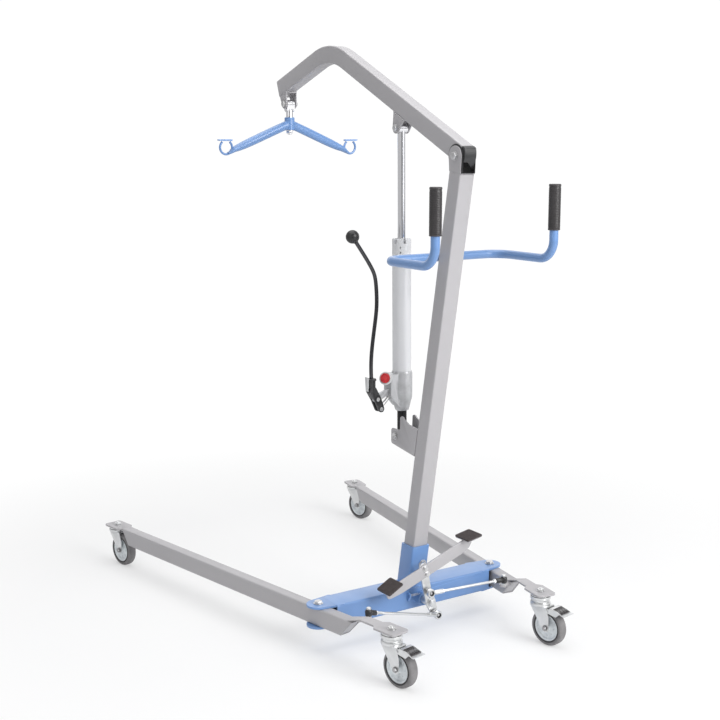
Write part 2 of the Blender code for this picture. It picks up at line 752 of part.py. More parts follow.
def build_pump_body(mats):
    profile = [(0, 0.0690), (0.0165, 0.0690), (0.0185, 0.0710), (0.0240, 0.0950), (0.0275, 0.1060),
               (0.0280, 0.1120), (0.0280, 0.1740), (0.0270, CYLINDER_BASE - GAP), (0, CYLINDER_BASE - GAP)]
    body = make("body", moved(lathe(profile, 28), pump_frame()))
    wing = [(-0.004, 0.7080), (0.0400, 0.7080), (0.0455, 0.7030), (0.0460, 0.6540), (0.0440, 0.6485),
            (0.0190, 0.6190), (0.0120, 0.6160), (-0.004, 0.6160)]
    join(body, prism(wing, LEVER_Y - 0.018, LEVER_Y + 0.016, along_y))
    tongue = hull_outline([(LEVER_PIVOT.x, LEVER_PIVOT.z, 0.0085), (0.046, 0.6610, 0.0075)])
    join(body, prism(tongue, LEVER_Y - 0.0050, LEVER_Y + 0.0050, along_y))
    knob_dir = knob_direction()
    join(body, turned(knob_centre() - knob_dir * 0.022, knob_dir,
                      [(0, 0), (0.0120, 0), (0.0120, 0.0170), (0, 0.0170)], 20))
    for z in (0.662, 0.650):
        join(body, rod((-0.020, LEVER_Y, z), (-0.0335, LEVER_Y - 0.004, z), 0.0038, 16))
    cut(body, rod(LEVER_PIVOT - Vector((0, 0.02, 0)), LEVER_PIVOT + Vector((0, 0.02, 0)), 0.0043))
    start, direction = plunger_line()
    cut(body, rod(start, start + direction * 0.062, 0.0052))
    cut(body, rod(knob_centre() - knob_dir * 0.016, knob_centre() + knob_dir * 0.01, 0.0043, 16))
    settle(body, "pump_body", mats["cast"], FOOT_PIN)
    stud = turned((0, 0, 0.0143), (0, 0, 1),
                  [(0, 0), (STUD_R - 0.003, 0), (STUD_R, 0.003), (STUD_R, 0.0544), (0, 0.0544)], 24)
    piece("foot_stud", moved(stud, pump_frame()), mats["black"], FOOT_PIN)


def plunger_line():
    """Outer end of the plunger and the direction in which it is pushed."""
    direction = Vector((-0.742, 0, 0.670)).normalized()
    return PLUNGER_PIN + direction * 0.0085, direction


def knob_direction():
    return Vector((0.816, 0.510, 0.270)).normalized()


def knob_centre():
    return Vector((0.0590, -0.0245, 0.6990))


def build_pump_controls(mats):
    direction = knob_direction()
    centre = knob_centre()
    profile = [(0, -0.0140), (0.0040, -0.0140), (0.0040, -0.0047), (0.0175, -0.0047), (0.0175, -0.0020),
               (0.0145, -0.0010), (0.0140, 0.0060), (0.0125, 0.0075), (0, 0.0075)]
    piece("release_knob", turned(centre, direction, profile, 24), mats["red"], centre)
    start, direction = plunger_line()
    piece("plunger", rod(start, start + direction * 0.034, 0.0048), mats["zinc"], start)


def build_lever(mats):
    cheek = hull_outline([(LEVER_PIVOT.x, LEVER_PIVOT.z, 0.0100), (PLUNGER_PIN.x, PLUNGER_PIN.z, 0.0088)])
    socket = make("socket", prism(cheek, LEVER_Y - 0.0110, LEVER_Y + 0.0110, along_y))
    neck = hull_outline([(LEVER_PIVOT.x, LEVER_PIVOT.z, 0.0100), (0.0985, 0.670, 0.0105)])
    join(socket, prism(neck, LEVER_Y - 0.0110, LEVER_Y + 0.0110, along_y))
    join(socket, turned((0.0985, LEVER_Y, 0.664), (0, 0, 1),
                        [(0, 0), (0.0112, 0), (0.0112, 0.031), (0.0130, 0.032),
                         (0.0130, 0.037), (0, 0.037)], 20))
    slot = hull_outline([(LEVER_PIVOT.x, LEVER_PIVOT.z, 0.0125), (PLUNGER_PIN.x, PLUNGER_PIN.z, 0.0125),
                         (0.040, 0.640, 0.03)])
    cut(socket, prism(slot, LEVER_Y - 0.0056, LEVER_Y + 0.0056, along_y))
    for pin in (LEVER_PIVOT, PLUNGER_PIN):
        join(socket, rod(pin - Vector((0, 0.0125, 0)), pin + Vector((0, 0.0125, 0)), 0.0040, 12))
    cut(socket, rod((0.0985, LEVER_Y, 0.676), (0.0985, LEVER_Y, 0.72), 0.0055))
    settle(socket, "lever_socket", mats["black"], LEVER_PIVOT)
    knots = [(0.0985, 0.6785), (0.0985, 0.6880), (0.0985, 0.7020), (0.1005, 0.746),
             (0.0940, 0.806), (0.0825, 0.874), (0.0815, 0.910), (0.0850, 0.963), (0.0930, 0.985), (0.1170, 1.021), (0.1500, 1.066)]
    path = smooth_path([Vector((x, LEVER_Y, z)) for x, z in knots], 3)
    handle = sweep(path, circle(0, 0, 0.0052, 10), (0, 1, 0))
    piece("lever_rod", handle, mats["dark_chrome"], LEVER_PIVOT)
    ball_centre = Vector((0.1570, LEVER_Y, 1.0755))
    ball = make("ball", turned(ball_centre, (-0.59, 0, -0.81), sphere_profile(0.0175), 20))
    cut(ball, rod(ball_centre, ball_centre + Vector((-0.59, 0, -0.81)) * 0.05, 0.0056))
    settle(ball, "lever_ball", mats["black"], LEVER_PIVOT)


def sphere_profile(radius):
    pts = arc(0, 0, radius, -90, 90, 10)
    return [(0 if abs(x) < 1e-6 else x, y) for x, y in pts]


def smooth_path(points, steps):
    """Catmull-Rom curve through the points."""
    ends = [points[0] * 2 - points[1]] + points + [points[-1] * 2 - points[-2]]
    path = []
    for a, b, c, d in zip(ends, ends[1:], ends[2:], ends[3:]):
        for i in range(steps):
            t = i / steps
            path.append(0.5 * ((2 * b) + (c - a) * t + (2 * a - 5 * b + 4 * c - d) * t * t
                               + (3 * b - a - 3 * c + d) * t ** 3))
    path.append(points[-1])
    return path


# ---------------------------------------------------------------- legs
def leg_shell():
    """Rectangular tube along local y with both ends cut aslant."""
    bm = bmesh.new()
    mid = (LEG_Z0 + LEG_Z1) / 2
    half_h = (LEG_Z1 - LEG_Z0) / 2
    loops = []
    for shrink, r in ((0, 0.004), (LEG_WALL, 0.0015)):
        rings = []
        for bottom, top in ((LEG_FRONT_BOTTOM, LEG_FRONT_TOP), (LEG_REAR_BOTTOM, LEG_REAR_TOP)):
            ring = []
            for u, v in rounded_rect(LEG_HALF_W - shrink, half_h - shrink, r):
                t = (v + half_h) / (2 * half_h)
                ring.append(bm.verts.new((u, bottom + (top - bottom) * t, mid + v)))
            rings.append(ring)
        skin(bm, rings)
        loops.append(rings)
    close_ends(bm, loops)
    return finished(bm)


def mount_plate(swivel, tail, sign, top):
    """Caster plate in plan: tail width at the tube, widening to full width at the swivel."""
    w = PLATE_HALF_W
    end = swivel + sign * 0.034
    start = swivel - sign * 0.036
    outline = [(-0.0160, tail), (-0.0160, start - sign * 0.012), (-w, start), (-w, end - sign * 0.006),
               (-w + 0.006, end), (w - 0.006, end), (w, end - sign * 0.006), (w, start),
               (0.0160, start - sign * 0.012), (0.0160, tail)]
    return prism(outline, top - PLATE_T, top, along_z)


def build_leg(side, tag, mats):
    leg = make("leg", leg_shell())
    join(leg, mount_plate(FRONT_SWIVEL, LEG_FRONT_TOP + 0.040, -1, FRONT_PLATE_TOP))
    join(leg, mount_plate(REAR_SWIVEL, 0.180, 1, REAR_PLATE_TOP))
    ramp = [(0.118, 0.1187), (0.122, 0.1226), (0.174, 0.1401), (0.186, 0.1401), (0.186, 0.1361),
            (0.175, 0.1361)]
    join(leg, prism(ramp, -0.0155, 0.0155, along_x))
    lug = hull_outline([(BALL_L, BALL_B - 0.004, 0.0105), (-0.015, BALL_B - 0.010, 0.006),
                        (-0.015, BALL_B - 0.032, 0.006)])
    join(leg, prism(lug, 0.1165, 0.1215, along_z))
    stud = [(0, 0.1190), (0.0040, 0.1190), (0.0040, 0.1455), (0.0062, 0.1455), (0.0062, 0.1490),
            (0.0050, 0.1505), (0, 0.1505)]
    join(leg, turned((BALL_L, BALL_B, 0), (0, 0, 1), stud, 12))
    cut(leg, rod((0, 0, 0.05), (0, 0, 0.15), PIVOT_BOLT_R + 0.0004))
    cut(leg, rod((0, FRONT_SWIVEL, 0.05), (0, FRONT_SWIVEL, 0.16), 0.0064))
    cut(leg, rod((0, REAR_SWIVEL, 0.05), (0, REAR_SWIVEL, 0.16), 0.0064))
    leg.data.transform(leg_frame(side))
    settle(leg, "leg_" + tag, mats["grey"], (side * LEG_PIVOT_X, 0, LEG_Z0))


def crank_point(sign):
    """Centre of a crank ball joint; sign +1 is the upper one."""
    point = rocker_frame() @ Vector((0, 0, sign * CRANK_R))
    return Vector((point.x, JOINT_Y + 0.0065, point.z))


def ball_point(side):
    return leg_frame(side) @ Vector((BALL_L, BALL_B, BALL_Z))


def build_tie_rod(side, tag, sign, mats):
    leg_end = ball_point(side)
    crank_end = crank_point(sign)
    run = (crank_end - leg_end).normalized()
    body = make("tie", turned(leg_end - Vector((0, 0, 0.0083)), (0, 0, 1),
                              [(0.0045, 0), (0.0088, 0), (0.0092, 0.004), (0.0092, 0.0125),
                               (0.0080, 0.0165), (0.0045, 0.0165)], 16))
    eye = turned(crank_end - Vector((0, 0.0055, 0)), (0, 1, 0),
                 [(0.0072, 0), (0.0112, 0), (0.0112, 0.011), (0.0072, 0.011)], 20)
    join(body, rod(leg_end + run * 0.0066, crank_end - run * 0.0085, 0.0038, 20))
    join(body, eye)
    join(body, turned(leg_end + run * 0.0085, run, [(0, 0), (0.0062, 0), (0.0062, 0.018), (0.0045, 0.020),
                                                    (0, 0.020)], 6))
    settle(body, "tie_rod_" + tag, mats["zinc"], leg_end)


# ---------------------------------------------------------------- pedal rocker
def build_rocker(mats):
    frame = rocker_frame()
    outline = hull_outline([(0, -CRANK_R, 0.0095), (0, 0, 0.0150), (0, CRANK_R, 0.0125)])
    crank = make("crank", prism(outline, CRANK_Y0, CRANK_Y1, along_y))
    neck = hull_outline([(0, CRANK_R, 0.0125), (-0.011, 0.106, 0.0120)])
    join(crank, prism(neck, CRANK_Y0 + 0.0002, CRANK_Y1 - 0.0002, along_y))
    for sign in (1, -1):
        join(crank, turned((0, CRANK_Y1 - 0.002, sign * CRANK_R), (0, 1, 0),
                           [(0, 0), (0.0040, 0), (0.0040, 0.0225), (0, 0.0225)], 12))
    cut(crank, rod((0, 0.05, 0), (0, 0.12, 0), 0.0074, 32))
    crank.data.transform(frame)
    settle(crank, "crank_plate", mats["zinc"], ROCKER)
    low = 0.0790
    top = 0.1120
    outline = [(-0.172, low + 0.014), (-0.160, low + 0.004), (-0.120, low), (0.075, low),
               (0.110, low + 0.004), (0.122, low + 0.018), (0.122, top - 0.0060), (0.082, top),
               (-0.148, top), (-0.172, top - 0.0042)]
    bar = make("bar", prism(outline, PEDAL_Y0, PEDAL_Y1, along_y))
    for z in (0.0860, 0.1040):
        join(bar, turned((-0.011, PEDAL_Y1 - 0.001, z), (0, 1, 0),
                         [(0, 0), (0.0065, 0), (0.0065, 0.0045), (0.0045, 0.0060), (0, 0.0060)], 12))
    bar.data.transform(frame)
    settle(bar, "pedal_bar", mats["grey"], ROCKER)
    for tag, x, slope in (("px", 0.1030, 8.5), ("nx", -0.1700, -9.5)):
        mid_y = (PEDAL_Y0 + PEDAL_Y1) / 2
        pad = prism(rounded_rect(0.0250, 0.0300, 0.005), 0.0, 0.0075, along_z)
        place = Matrix.Translation((x, mid_y, top - 0.0015)) @ Matrix.Rotation(math.radians(slope), 4, "Y")
        piece("pedal_pad_" + tag, moved(pad, frame @ place), mats["rubber"], ROCKER)


# ---------------------------------------------------------------- casters
def caster_frame(side, along):
    swivel = leg_frame(side) @ Vector((0, along, 0))
    return Matrix.Translation((swivel.x, swivel.y, 0)) @ Matrix.Rotation(CASTER_YAW, 4, "Z")


def build_kingpin(name, frame, plate_top, mats):
    under = plate_top - PLATE_T - GAP
    head = plate_top + GAP
    profile = [(0, 0.1045), (0.0050, 0.1045), (0.0050, under - 0.0052), (0.0240, under - 0.0052),
               (0.0260, under - 0.0040), (0.0260, under), (0.0060, under), (0.0060, head)]
    profile += nut(0.0190, head, head + 0.0060) + [(0, head + 0.0060)]
    pin = lathe(profile, 18)
    piece(name, moved(pin, frame), mats["zinc"], frame.translation)


def fork_crown(plate_top):
    """Pressed crown under the race; the rear one is taller and has a waist."""
    top = plate_top - PLATE_T - 3 * GAP - 0.0052
    low = 0.1030
    waist = []
    if plate_top > 0.13:
        waist = [(0.0270, low + 0.0110), (0.0235, low + 0.0122),
                 (0.0235, low + 0.0165), (0.0270, low + 0.0178)]
    profile = [(0, low), (0.0210, low), (0.0270, low + 0.0025)] + waist
    profile += [(0.0270, top), (0, top)]
    return lathe(profile, 20)


def build_fork(name, frame, plate_top, mats):
    yoke = hull_outline([(-0.0170, 0.1035, 0.0030), (0.0300, 0.1035, 0.0030),
                         (CASTER_TRAIL, WHEEL_R, 0.0105), (0.0330, 0.080, 0.0080)], 12)
    fork = make("fork", prism(yoke, -0.0176, 0.0176, along_x))
    cut(fork, box(-0.0150, 0.0150, -0.06, 0.09, 0.0, 0.1038))
    join(fork, fork_crown(plate_top))
    axle = [(0, -0.0238)] + [(r, -h, n) for r, h, n in reversed(nut(0.0130, 0.0174, 0.0238))]
    axle += [(0.0040, -0.0174), (0.0040, 0.0174)] + nut(0.0130, 0.0174, 0.0238) + [(0, 0.0238)]
    join(fork, turned((0, CASTER_TRAIL, WHEEL_R), (1, 0, 0), axle, 12))
    if plate_top > 0.13:
        ear = hull_outline([(BRAKE_Y, BRAKE_Z, 0.0050), (0.0300, BRAKE_Z - 0.006, 0.0050)], 14)
        for sign in (1, -1):
            join(fork, prism(ear, sign * 0.0152, sign * 0.0174, along_x))
            stud = rod((sign * 0.0160, BRAKE_Y, BRAKE_Z), (sign * 0.0210, BRAKE_Y, BRAKE_Z), 0.0022, 12)
            join(fork, stud)
    cut(fork, rod((0, 0, 0.09), (0, 0, 0.15), 0.0054))
    fork.data.transform(frame)
    settle(fork, name, mats["zinc"], frame.translation)


def build_wheel(tag, frame, mats):
    centre = frame @ Vector((0, CASTER_TRAIL, WHEEL_R))
    disc = [(0.0043, -0.0142), (0.0110, -0.0142), (0.0150, -0.0070), (0.0362, -0.0110), (0.0362, 0.0110),
            (0.0150, 0.0070), (0.0110, 0.0142), (0.0043, 0.0142)]
    turn_x = frame.to_3x3() @ Vector((1, 0, 0))
    piece("wheel_" + tag, turned(centre, turn_x, disc, ROUND), mats["disc"], centre)
    w = WHEEL_HALF_W
    tyre = [(0.0366, -w), (0.0465, -w), (0.0500, -w + 0.0060), (0.0500, w - 0.0060),
            (0.0465, w), (0.0366, w)]
    round_tyre = [(r / math.cos(math.pi / 32), h) for r, h in tyre]
    ring = moved(lathe(round_tyre, 32), Matrix.Rotation(math.pi / 32, 4, "Z"))
    ring.transform(Matrix.Translation(centre) @ basis(turn_x))
    piece("tyre_" + tag, ring, mats["tyre"], centre)


def build_brake(tag, frame, mats):
    top = [(0.0440, 0.1060), (0.0445, 0.1085), (0.0530, 0.1085), (0.0700, 0.1050), (0.0880, 0.0985),
           (0.0930, 0.0990), (0.0935, 0.0965), (0.0880, 0.0958), (0.0690, 0.1022), (0.0520, 0.1058)]
    pedal = make("pedal", prism(top, -0.0200, 0.0200, along_x))
    flange = hull_outline([(BRAKE_Y, BRAKE_Z, 0.0048), (0.0500, 0.1045, 0.0025), (0.0740, 0.1000, 0.0020),
                           (0.0640, 0.0920, 0.0030)], 12)
    for sign in (1, -1):
        join(pedal, prism(flange, sign * 0.0180, sign * 0.0198, along_x))
        cut(pedal, rod((sign * 0.0160, BRAKE_Y, BRAKE_Z), (sign * 0.0230, BRAKE_Y, BRAKE_Z), 0.0025, 12))
    pedal.data.transform(frame)
    settle(pedal, "brake_pedal_" + tag, mats["zinc"], frame @ Vector((0, BRAKE_Y, BRAKE_Z)))


def build_casters(mats):
    for side, side_tag in ((1, "px"), (-1, "nx")):
        for along, end, plate_top in ((FRONT_SWIVEL, "front", FRONT_PLATE_TOP),
                                      (REAR_SWIVEL, "rear", REAR_PLATE_TOP)):
            tag = end + "_" + side_tag
            frame = caster_frame(side, along)
            build_kingpin("kingpin_" + tag, frame, plate_top, mats)
            build_fork("fork_" + tag, frame, plate_top, mats)
            build_wheel(tag, frame, mats)
        build_brake(side_tag, caster_frame(side, REAR_SWIVEL), mats)


def main():
    clear_scene()
    mats = {
        "grey": surface("grey_powder_coat", GREY, 0.2, 0.45),
        "blue": surface("blue_powder_coat", BLUE, 0.1, 0.40),
        "zinc": surface("zinc_plate", ZINC, 0.9, 0.35),
        "chrome": surface("chrome", CHROME, 1.0, 0.12),
        "dark_chrome": surface("dark_chrome", (0.25, 0.25, 0.27, 1.0), 1.0, 0.2),
        "black": surface("black_plastic", BLACK, 0.0, 0.45),
        "rubber": surface("black_rubber", BLACK, 0.0, 0.75),
        "white": surface("white_enamel", WHITE, 0.1, 0.30),
        "cast": surface("cast_aluminium", CAST, 0.7, 0.50),
        "red": surface("red_plastic", RED, 0.0, 0.35),
        "tyre": surface("grey_rubber", TYRE_GREY, 0.0, 0.80),
        "disc": surface("wheel_disc", DISC_WHITE, 0.2, 0.40),
    }
    build_base(mats)
    build_rocker_axle(mats)
    build_mast(mats)
    build_mast_head(mats)
    build_pump_bracket(mats)
    build_handlebar(mats)
    build_boom(mats)
    build_boom_brackets(mats)
    build_spindle(mats)
    build_spreader(mats)
    build_piston_rod(mats)
    build_cylinder(mats)
    build_pump_body(mats)
    build_pump_controls(mats)
    build_lever(mats)
    for side, tag, sign in ((1, "px", -1), (-1, "nx", 1)):
        build_leg(side, tag, mats)
        build_tie_rod(side, tag, sign, mats)
    build_rocker(mats)
    build_casters(mats)
    for obj in bpy.data.objects:
        obj.location = obj.location + FOOTPRINT_SHIFT


main()
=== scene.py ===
"""Looks of the patient lift hoist: fine pieces, materials, floor, light and camera round the CAD frame.

Metres, +Z up.  The pieces are laid out from a point between the leg pivots, then SHIFT moves them
into the row frame.  "px" is the +X side, "nx" the -X side.
"""
import math

import bmesh
import bpy
from mathutils import Matrix, Vector


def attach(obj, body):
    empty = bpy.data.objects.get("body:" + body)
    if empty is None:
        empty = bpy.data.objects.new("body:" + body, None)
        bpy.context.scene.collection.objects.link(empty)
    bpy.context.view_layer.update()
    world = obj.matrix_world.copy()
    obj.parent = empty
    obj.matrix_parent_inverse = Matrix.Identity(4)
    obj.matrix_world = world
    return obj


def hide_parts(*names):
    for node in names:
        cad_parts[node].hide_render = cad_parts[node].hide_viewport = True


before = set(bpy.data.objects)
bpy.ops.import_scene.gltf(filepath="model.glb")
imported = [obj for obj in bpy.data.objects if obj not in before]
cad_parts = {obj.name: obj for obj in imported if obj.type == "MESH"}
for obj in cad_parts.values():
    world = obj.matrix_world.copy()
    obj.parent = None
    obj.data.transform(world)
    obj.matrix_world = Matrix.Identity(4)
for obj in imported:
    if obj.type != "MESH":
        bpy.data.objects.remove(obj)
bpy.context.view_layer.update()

# ---------------------------------------------------------------- dimensions
SHIFT = Vector((0.0, 0.31054, 0.0))
GAP = 0.0003
PIN_BORE = 0.0053
HINGE_BORE = 0.0054
SIDES = ((1, "px"), (-1, "nx"))
# legs, with their castor plates
LEG_X = 0.286
SPLAY = math.radians(9.57)
LEG_HALF = 0.017
LEG_LOW = 0.076
LEG_HIGH = 0.1238
FRONT_SWIVEL = -0.963
REAR_SWIVEL = 0.2734
PLATE_HALF = 0.028
PLATE_T = 0.005
FRONT_TOP = 0.1234
REAR_TOP = 0.1405
# tie rod's ball stud, in a leg's own frame
BALL = Vector((-0.04, 0.149, 0.1366))
# cross beam and leaning mast
BEAM_HALF_X = 0.252
BEAM_LOW = 0.07
BEAM_HIGH = 0.13
MAST_Y0 = -0.0108
LEAN = math.radians(10.28)
MAST_HALF = 0.0225
MAST_TOP = 1.2597
SOCKET_HALF = 0.0275
SOCKET_TOP = 0.2505
# boom: its pivot, its bend and its tip
HINGE = Vector((0.0, 0.2145, 1.281))
BEND = Vector((0.0, -0.366, 1.567))
TIP = Vector((0.0, -0.652, 1.4675))
BOOM_W = 0.018
BOOM_H = 0.024
BOOM_RISE = 0.008
BOOM_REAR = 0.0097
# pins of the jack and the hanger
ROD_PIN = Vector((0.0, -0.042, 1.3495))
FOOT_PIN = Vector((0.0, -0.0312, 0.5367))
HANG_PIN = Vector((0.0, -0.616, 1.423))
# jack, measured up from its foot pin
COLLAR_LOW = 0.48
COLLAR_TOP = 0.528
CYL_LOW = 0.176
CYL_R = 0.025
# spreader
HUB_LOW = 1.3475
HUB_TOP = 1.3845
HOOK_X = 0.212
HOOK_Z = 1.2975
HOOK_R = 0.0195
# handlebar
GRIP_X = 0.1805
GRIP_Y = 0.3507
BAR_Y = 0.1415
BAR_Z = 1.03
# pedal rocker, its crank and its bar
ROCKER = Vector((-0.0125, 0.0, 0.099))
TILT = math.radians(20.0)
CRANK_R = 0.035
CRANK_Y = (0.086, 0.091)
PEDAL_Y = (0.0914, 0.0974)
EYE_Y = 0.1055
# castors
RACE_T = 0.0052
FORK_HALF = 0.0176
TRAIL = 0.0306
WHEEL_R = 0.05
YAW = math.radians(11.0)
BRAKE = (0.037, 0.0985)
# pump lever, plunger and release knob
LEVER_Y = -0.033
LEVER_PIVOT = Vector((0.084, LEVER_Y, 0.645))
PLUNGE_PIN = Vector((0.073, LEVER_Y, 0.618))
KNOB = Vector((0.059, -0.0245, 0.699))
KNOB_DIR = Vector((0.816, 0.51, 0.27)).normalized()
PUSH_DIR = Vector((-0.742, 0.0, 0.67)).normalized()


# ---------------------------------------------------------------- mesh helpers
def arc(cx, cy, radius, start, end, steps):
    """Points along an arc, angles in degrees."""
    pts = []
    for i in range(steps + 1):
        a = math.radians(start + (end - start) * i / steps)
        pts.append((cx + radius * math.cos(a), cy + radius * math.sin(a)))
    return pts


def circle(radius, steps=64, cx=0.0, cy=0.0):
    return arc(cx, cy, radius, 0, 360.0 * (steps - 1) / steps, steps - 1)


def rounded(half_x, half_y, radius, steps=5):
    """Rectangle with rounded corners."""
    pts = []
    for k, (sx, sy) in enumerate(((1, 1), (-1, 1), (-1, -1), (1, -1))):
        pts += arc(sx * (half_x - radius), sy * (half_y - radius), radius, 90 * k, 90 * k + 90, steps)
    return pts


def hull(discs, steps=48):
    """Convex outline round (x, y, radius) discs."""
    pts = set()
    for x, y, radius in discs:
        pts |= set((round(u, 6), round(v, 6)) for u, v in circle(radius, steps, x, y))
    pts = sorted(pts)
    out = []
    for order in (pts, pts[::-1]):
        chain = []
        for p in order:
            while len(chain) > 1 and cross(chain[-2], chain[-1], p) <= 1e-10:
                chain.pop()
            chain.append(p)
        out += chain[:-1]
    return out


def cross(a, b, c):
    return (b[0] - a[0]) * (c[1] - a[1]) - (b[1] - a[1]) * (c[0] - a[0])


def on_x(u, v, w):
    return Vector((w, u, v))


def on_y(u, v, w):
    return Vector((u, w, v))


def on_z(u, v, w):
    return Vector((u, v, w))


def done(bm):
    bmesh.ops.recalc_face_normals(bm, faces=bm.faces)
    return bm


def skin(bm, a, b):
    """Quads between two rings of equal length."""
    for i in range(len(a)):
        j = (i + 1) % len(a)
        bm.faces.new((a[i], a[j], b[j], b[i]))


def shell(outer, inner):
    """Tube with open ends, from the end rings of its outer and inner faces."""
    bm = bmesh.new()
    faces = [[[bm.verts.new(p) for p in ring] for ring in rings] for rings in (outer, inner)]
    for a, b in faces:
        skin(bm, a, b)
    for a, b in zip(*faces):
        skin(bm, a, b)
    return done(bm)


def prism(outline, low, high, place):
    """An outline drawn out from low to high, laid out in space by place."""
    bm = bmesh.new()
    base = [bm.verts.new(place(u, v, low)) for u, v in outline]
    top = [bm.verts.new(place(u, v, high)) for u, v in outline]
    bm.faces.new(base[::-1])
    bm.faces.new(top)
    skin(bm, base, top)
    return done(bm)


def box(x0, x1, y0, y1, z0, z1):
    return prism([(x0, y0), (x1, y0), (x1, y1), (x0, y1)], z0, z1, on_z)


def basis(direction):
    """Turn that takes +Z onto a direction."""
    return Vector(direction).to_track_quat("Z", "Y").to_matrix().to_4x4()


def ring_points(radius, steps, sides):
    """A circle, or the polygon round it where sides are given."""
    pts = circle(radius, steps)
    if not sides:
        return pts
    flat = []
    for x, y in pts:
        a = math.atan2(y, x) % (2 * math.pi / sides) - math.pi / sides
        k = math.cos(math.pi / sides) / math.cos(a)
        flat.append((x * k, y * k))
    return flat


def lathe(profile, steps=64):
    """Spin a closed (radius, height[, sides]) profile about +Z."""
    bm = bmesh.new()
    rings = []
    for radius, height, *sides in profile:
        if radius < 1e-7:
            rings.append([bm.verts.new((0, 0, height))])
        else:
            pts = ring_points(radius, steps, sides[0] if sides else 0)
            rings.append([bm.verts.new((x, y, height)) for x, y in pts])
    for k, a in enumerate(rings):
        stitch(bm, a, rings[(k + 1) % len(rings)], steps)
    return done(bm)


def stitch(bm, a, b, steps):
    """Faces between two lathe rings, either of them perhaps a single point."""
    if len(a) == 1 and len(b) == 1:
        return
    for i in range(steps):
        j = (i + 1) % steps
        if len(a) == 1:
            bm.faces.new((a[0], b[i], b[j]))
        elif len(b) == 1:
            bm.faces.new((a[i], b[0], a[j]))
        else:
            bm.faces.new((a[i], b[i], b[j], a[j]))


def turned(start, direction, profile, steps=64):
    """A lathe profile stood on start and pointed in a direction."""
    return moved(lathe(profile, steps), Matrix.Translation(Vector(start)) @ basis(direction))


def rod(start, end, radius, steps=48):
    start = Vector(start)
    run = Vector(end) - start
    return turned(start, run, [(0, 0), (radius, 0), (radius, run.length), (0, run.length)], steps)


def moved(bm, matrix):
    bm.transform(matrix)
    return done(bm)


def nut(across, low, high):
    """Profile of a chamfered hex nut, from its size across flats."""
    r = across / math.sqrt(3.0)
    k = (high - low) / 4
    return [(r * 0.9, low, 6), (r, low + k * 0.5, 6), (r, high - k, 6), (r * 0.93, high - k * 0.3, 6),
            (r * 0.8, high)]


def flipped(profile):
    """The same profile upside down."""
    return [(r, -h, *sides) for r, h, *sides in reversed(profile)]


def bolt(start, direction, radius, length, across, head):
    """Hex head and washer, shank, washer and nut with the thread end showing."""
    profile = [(0, -head + 0.0006), (across * 0.38, -head + 0.0006)] + flipped(nut(across, 0.0012, head))
    profile += [(across * 0.66, -0.0012), (across * 0.66, 0), (radius, 0), (radius, length)]
    profile += [(across * 0.66, length), (across * 0.66, length + 0.0012)]
    profile += nut(across, length + 0.0012, length + head)
    profile += [(radius * 1.05, length + head), (radius * 1.05, length + head + 0.0012),
                (radius * 0.8, length + head + 0.002), (0, length + head + 0.002)]
    return turned(start, direction, profile, 48)


def cross_bolt(at, half, across, head):
    """Bolt along X through a fork of the given half width."""
    return bolt(at + Vector((half + GAP, 0, 0)), (-1, 0, 0), 0.005, 2 * half + 2 * GAP, across, head)


def bend_path(points, radius, steps=14):
    """A run of straight lengths with rounded corners."""
    pts = [Vector(p) for p in points]
    path = [pts[0]]
    for before, corner, after in zip(pts, pts[1:], pts[2:]):
        a = (before - corner).normalized()
        b = (after - corner).normalized()
        half = a.angle(b) / 2
        centre = corner + (a + b).normalized() * (radius / math.sin(half))
        start = corner + a * (radius / math.tan(half)) - centre
        end = corner + b * (radius / math.tan(half)) - centre
        path += [centre + start.slerp(end, i / steps).normalized() * radius for i in range(steps + 1)]
    return path + [pts[-1]]


def curve_path(points, steps):
    """Smooth curve through the points."""
    ends = [points[0] * 2 - points[1]] + points + [points[-1] * 2 - points[-2]]
    path = []
    for a, b, c, d in zip(ends, ends[1:], ends[2:], ends[3:]):
        for i in range(steps):
            t = i / steps
            path.append(0.5 * (2 * b + (c - a) * t + (2 * a - 5 * b + 4 * c - d) * t * t
                               + (3 * b - a - 3 * c + d) * t ** 3))
    return path + [points[-1]]


def sweep(path, section, side_axis, inner=None, scale=None):
    """A section carried along a path, hollow where there is an inner one."""
    bm = bmesh.new()
    side = Vector(side_axis)
    loops = [[], []]
    for i, p in enumerate(path):
        run = (path[min(i + 1, len(path) - 1)] - path[max(i - 1, 0)]).normalized()
        side = (side - run * side.dot(run)).normalized()
        up = run.cross(side)
        k = scale(i / (len(path) - 1)) if scale else 1.0
        for n, shape in enumerate((section, inner)):
            if shape:
                loops[n].append([bm.verts.new(p + side * (u * k) + up * (v * k)) for u, v in shape])
    for rings in loops:
        for a, b in zip(rings, rings[1:]):
            skin(bm, a, b)
    for index in (0, -1):
        if inner:
            skin(bm, loops[0][index], loops[1][index])
        else:
            bm.faces.new(loops[0][index])
    return done(bm)


def make(bm, name="work"):
    """New object from a bmesh."""
    mesh = bpy.data.meshes.new(name)
    bm.to_mesh(mesh)
    bm.free()
    obj = bpy.data.objects.new(name, mesh)
    bpy.context.scene.collection.objects.link(obj)
    return obj


def combine(obj, bm, operation):
    tool = make(bm)
    mod = obj.modifiers.new("combine", "BOOLEAN")
    mod.operation = operation
    mod.solver = "EXACT"
    mod.object = tool
    bpy.context.view_layer.update()
    graph = bpy.context.evaluated_depsgraph_get()
    mesh = bpy.data.meshes.new_from_object(obj.evaluated_get(graph))
    obj.modifiers.remove(mod)
    obj.data = mesh
    bpy.data.objects.remove(tool, do_unlink=True)
    return obj


def join(obj, bm):
    return combine(obj, bm, "UNION")


def cut(obj, bm):
    return combine(obj, bm, "DIFFERENCE")


def cut_round(obj, count, tool, step, first=0.0):
    """Cut count copies of tool() round Z, step degrees apart."""
    for k in range(count):
        cut(obj, moved(tool(), Matrix.Rotation(math.radians(first + step * k), 4, "Z")))


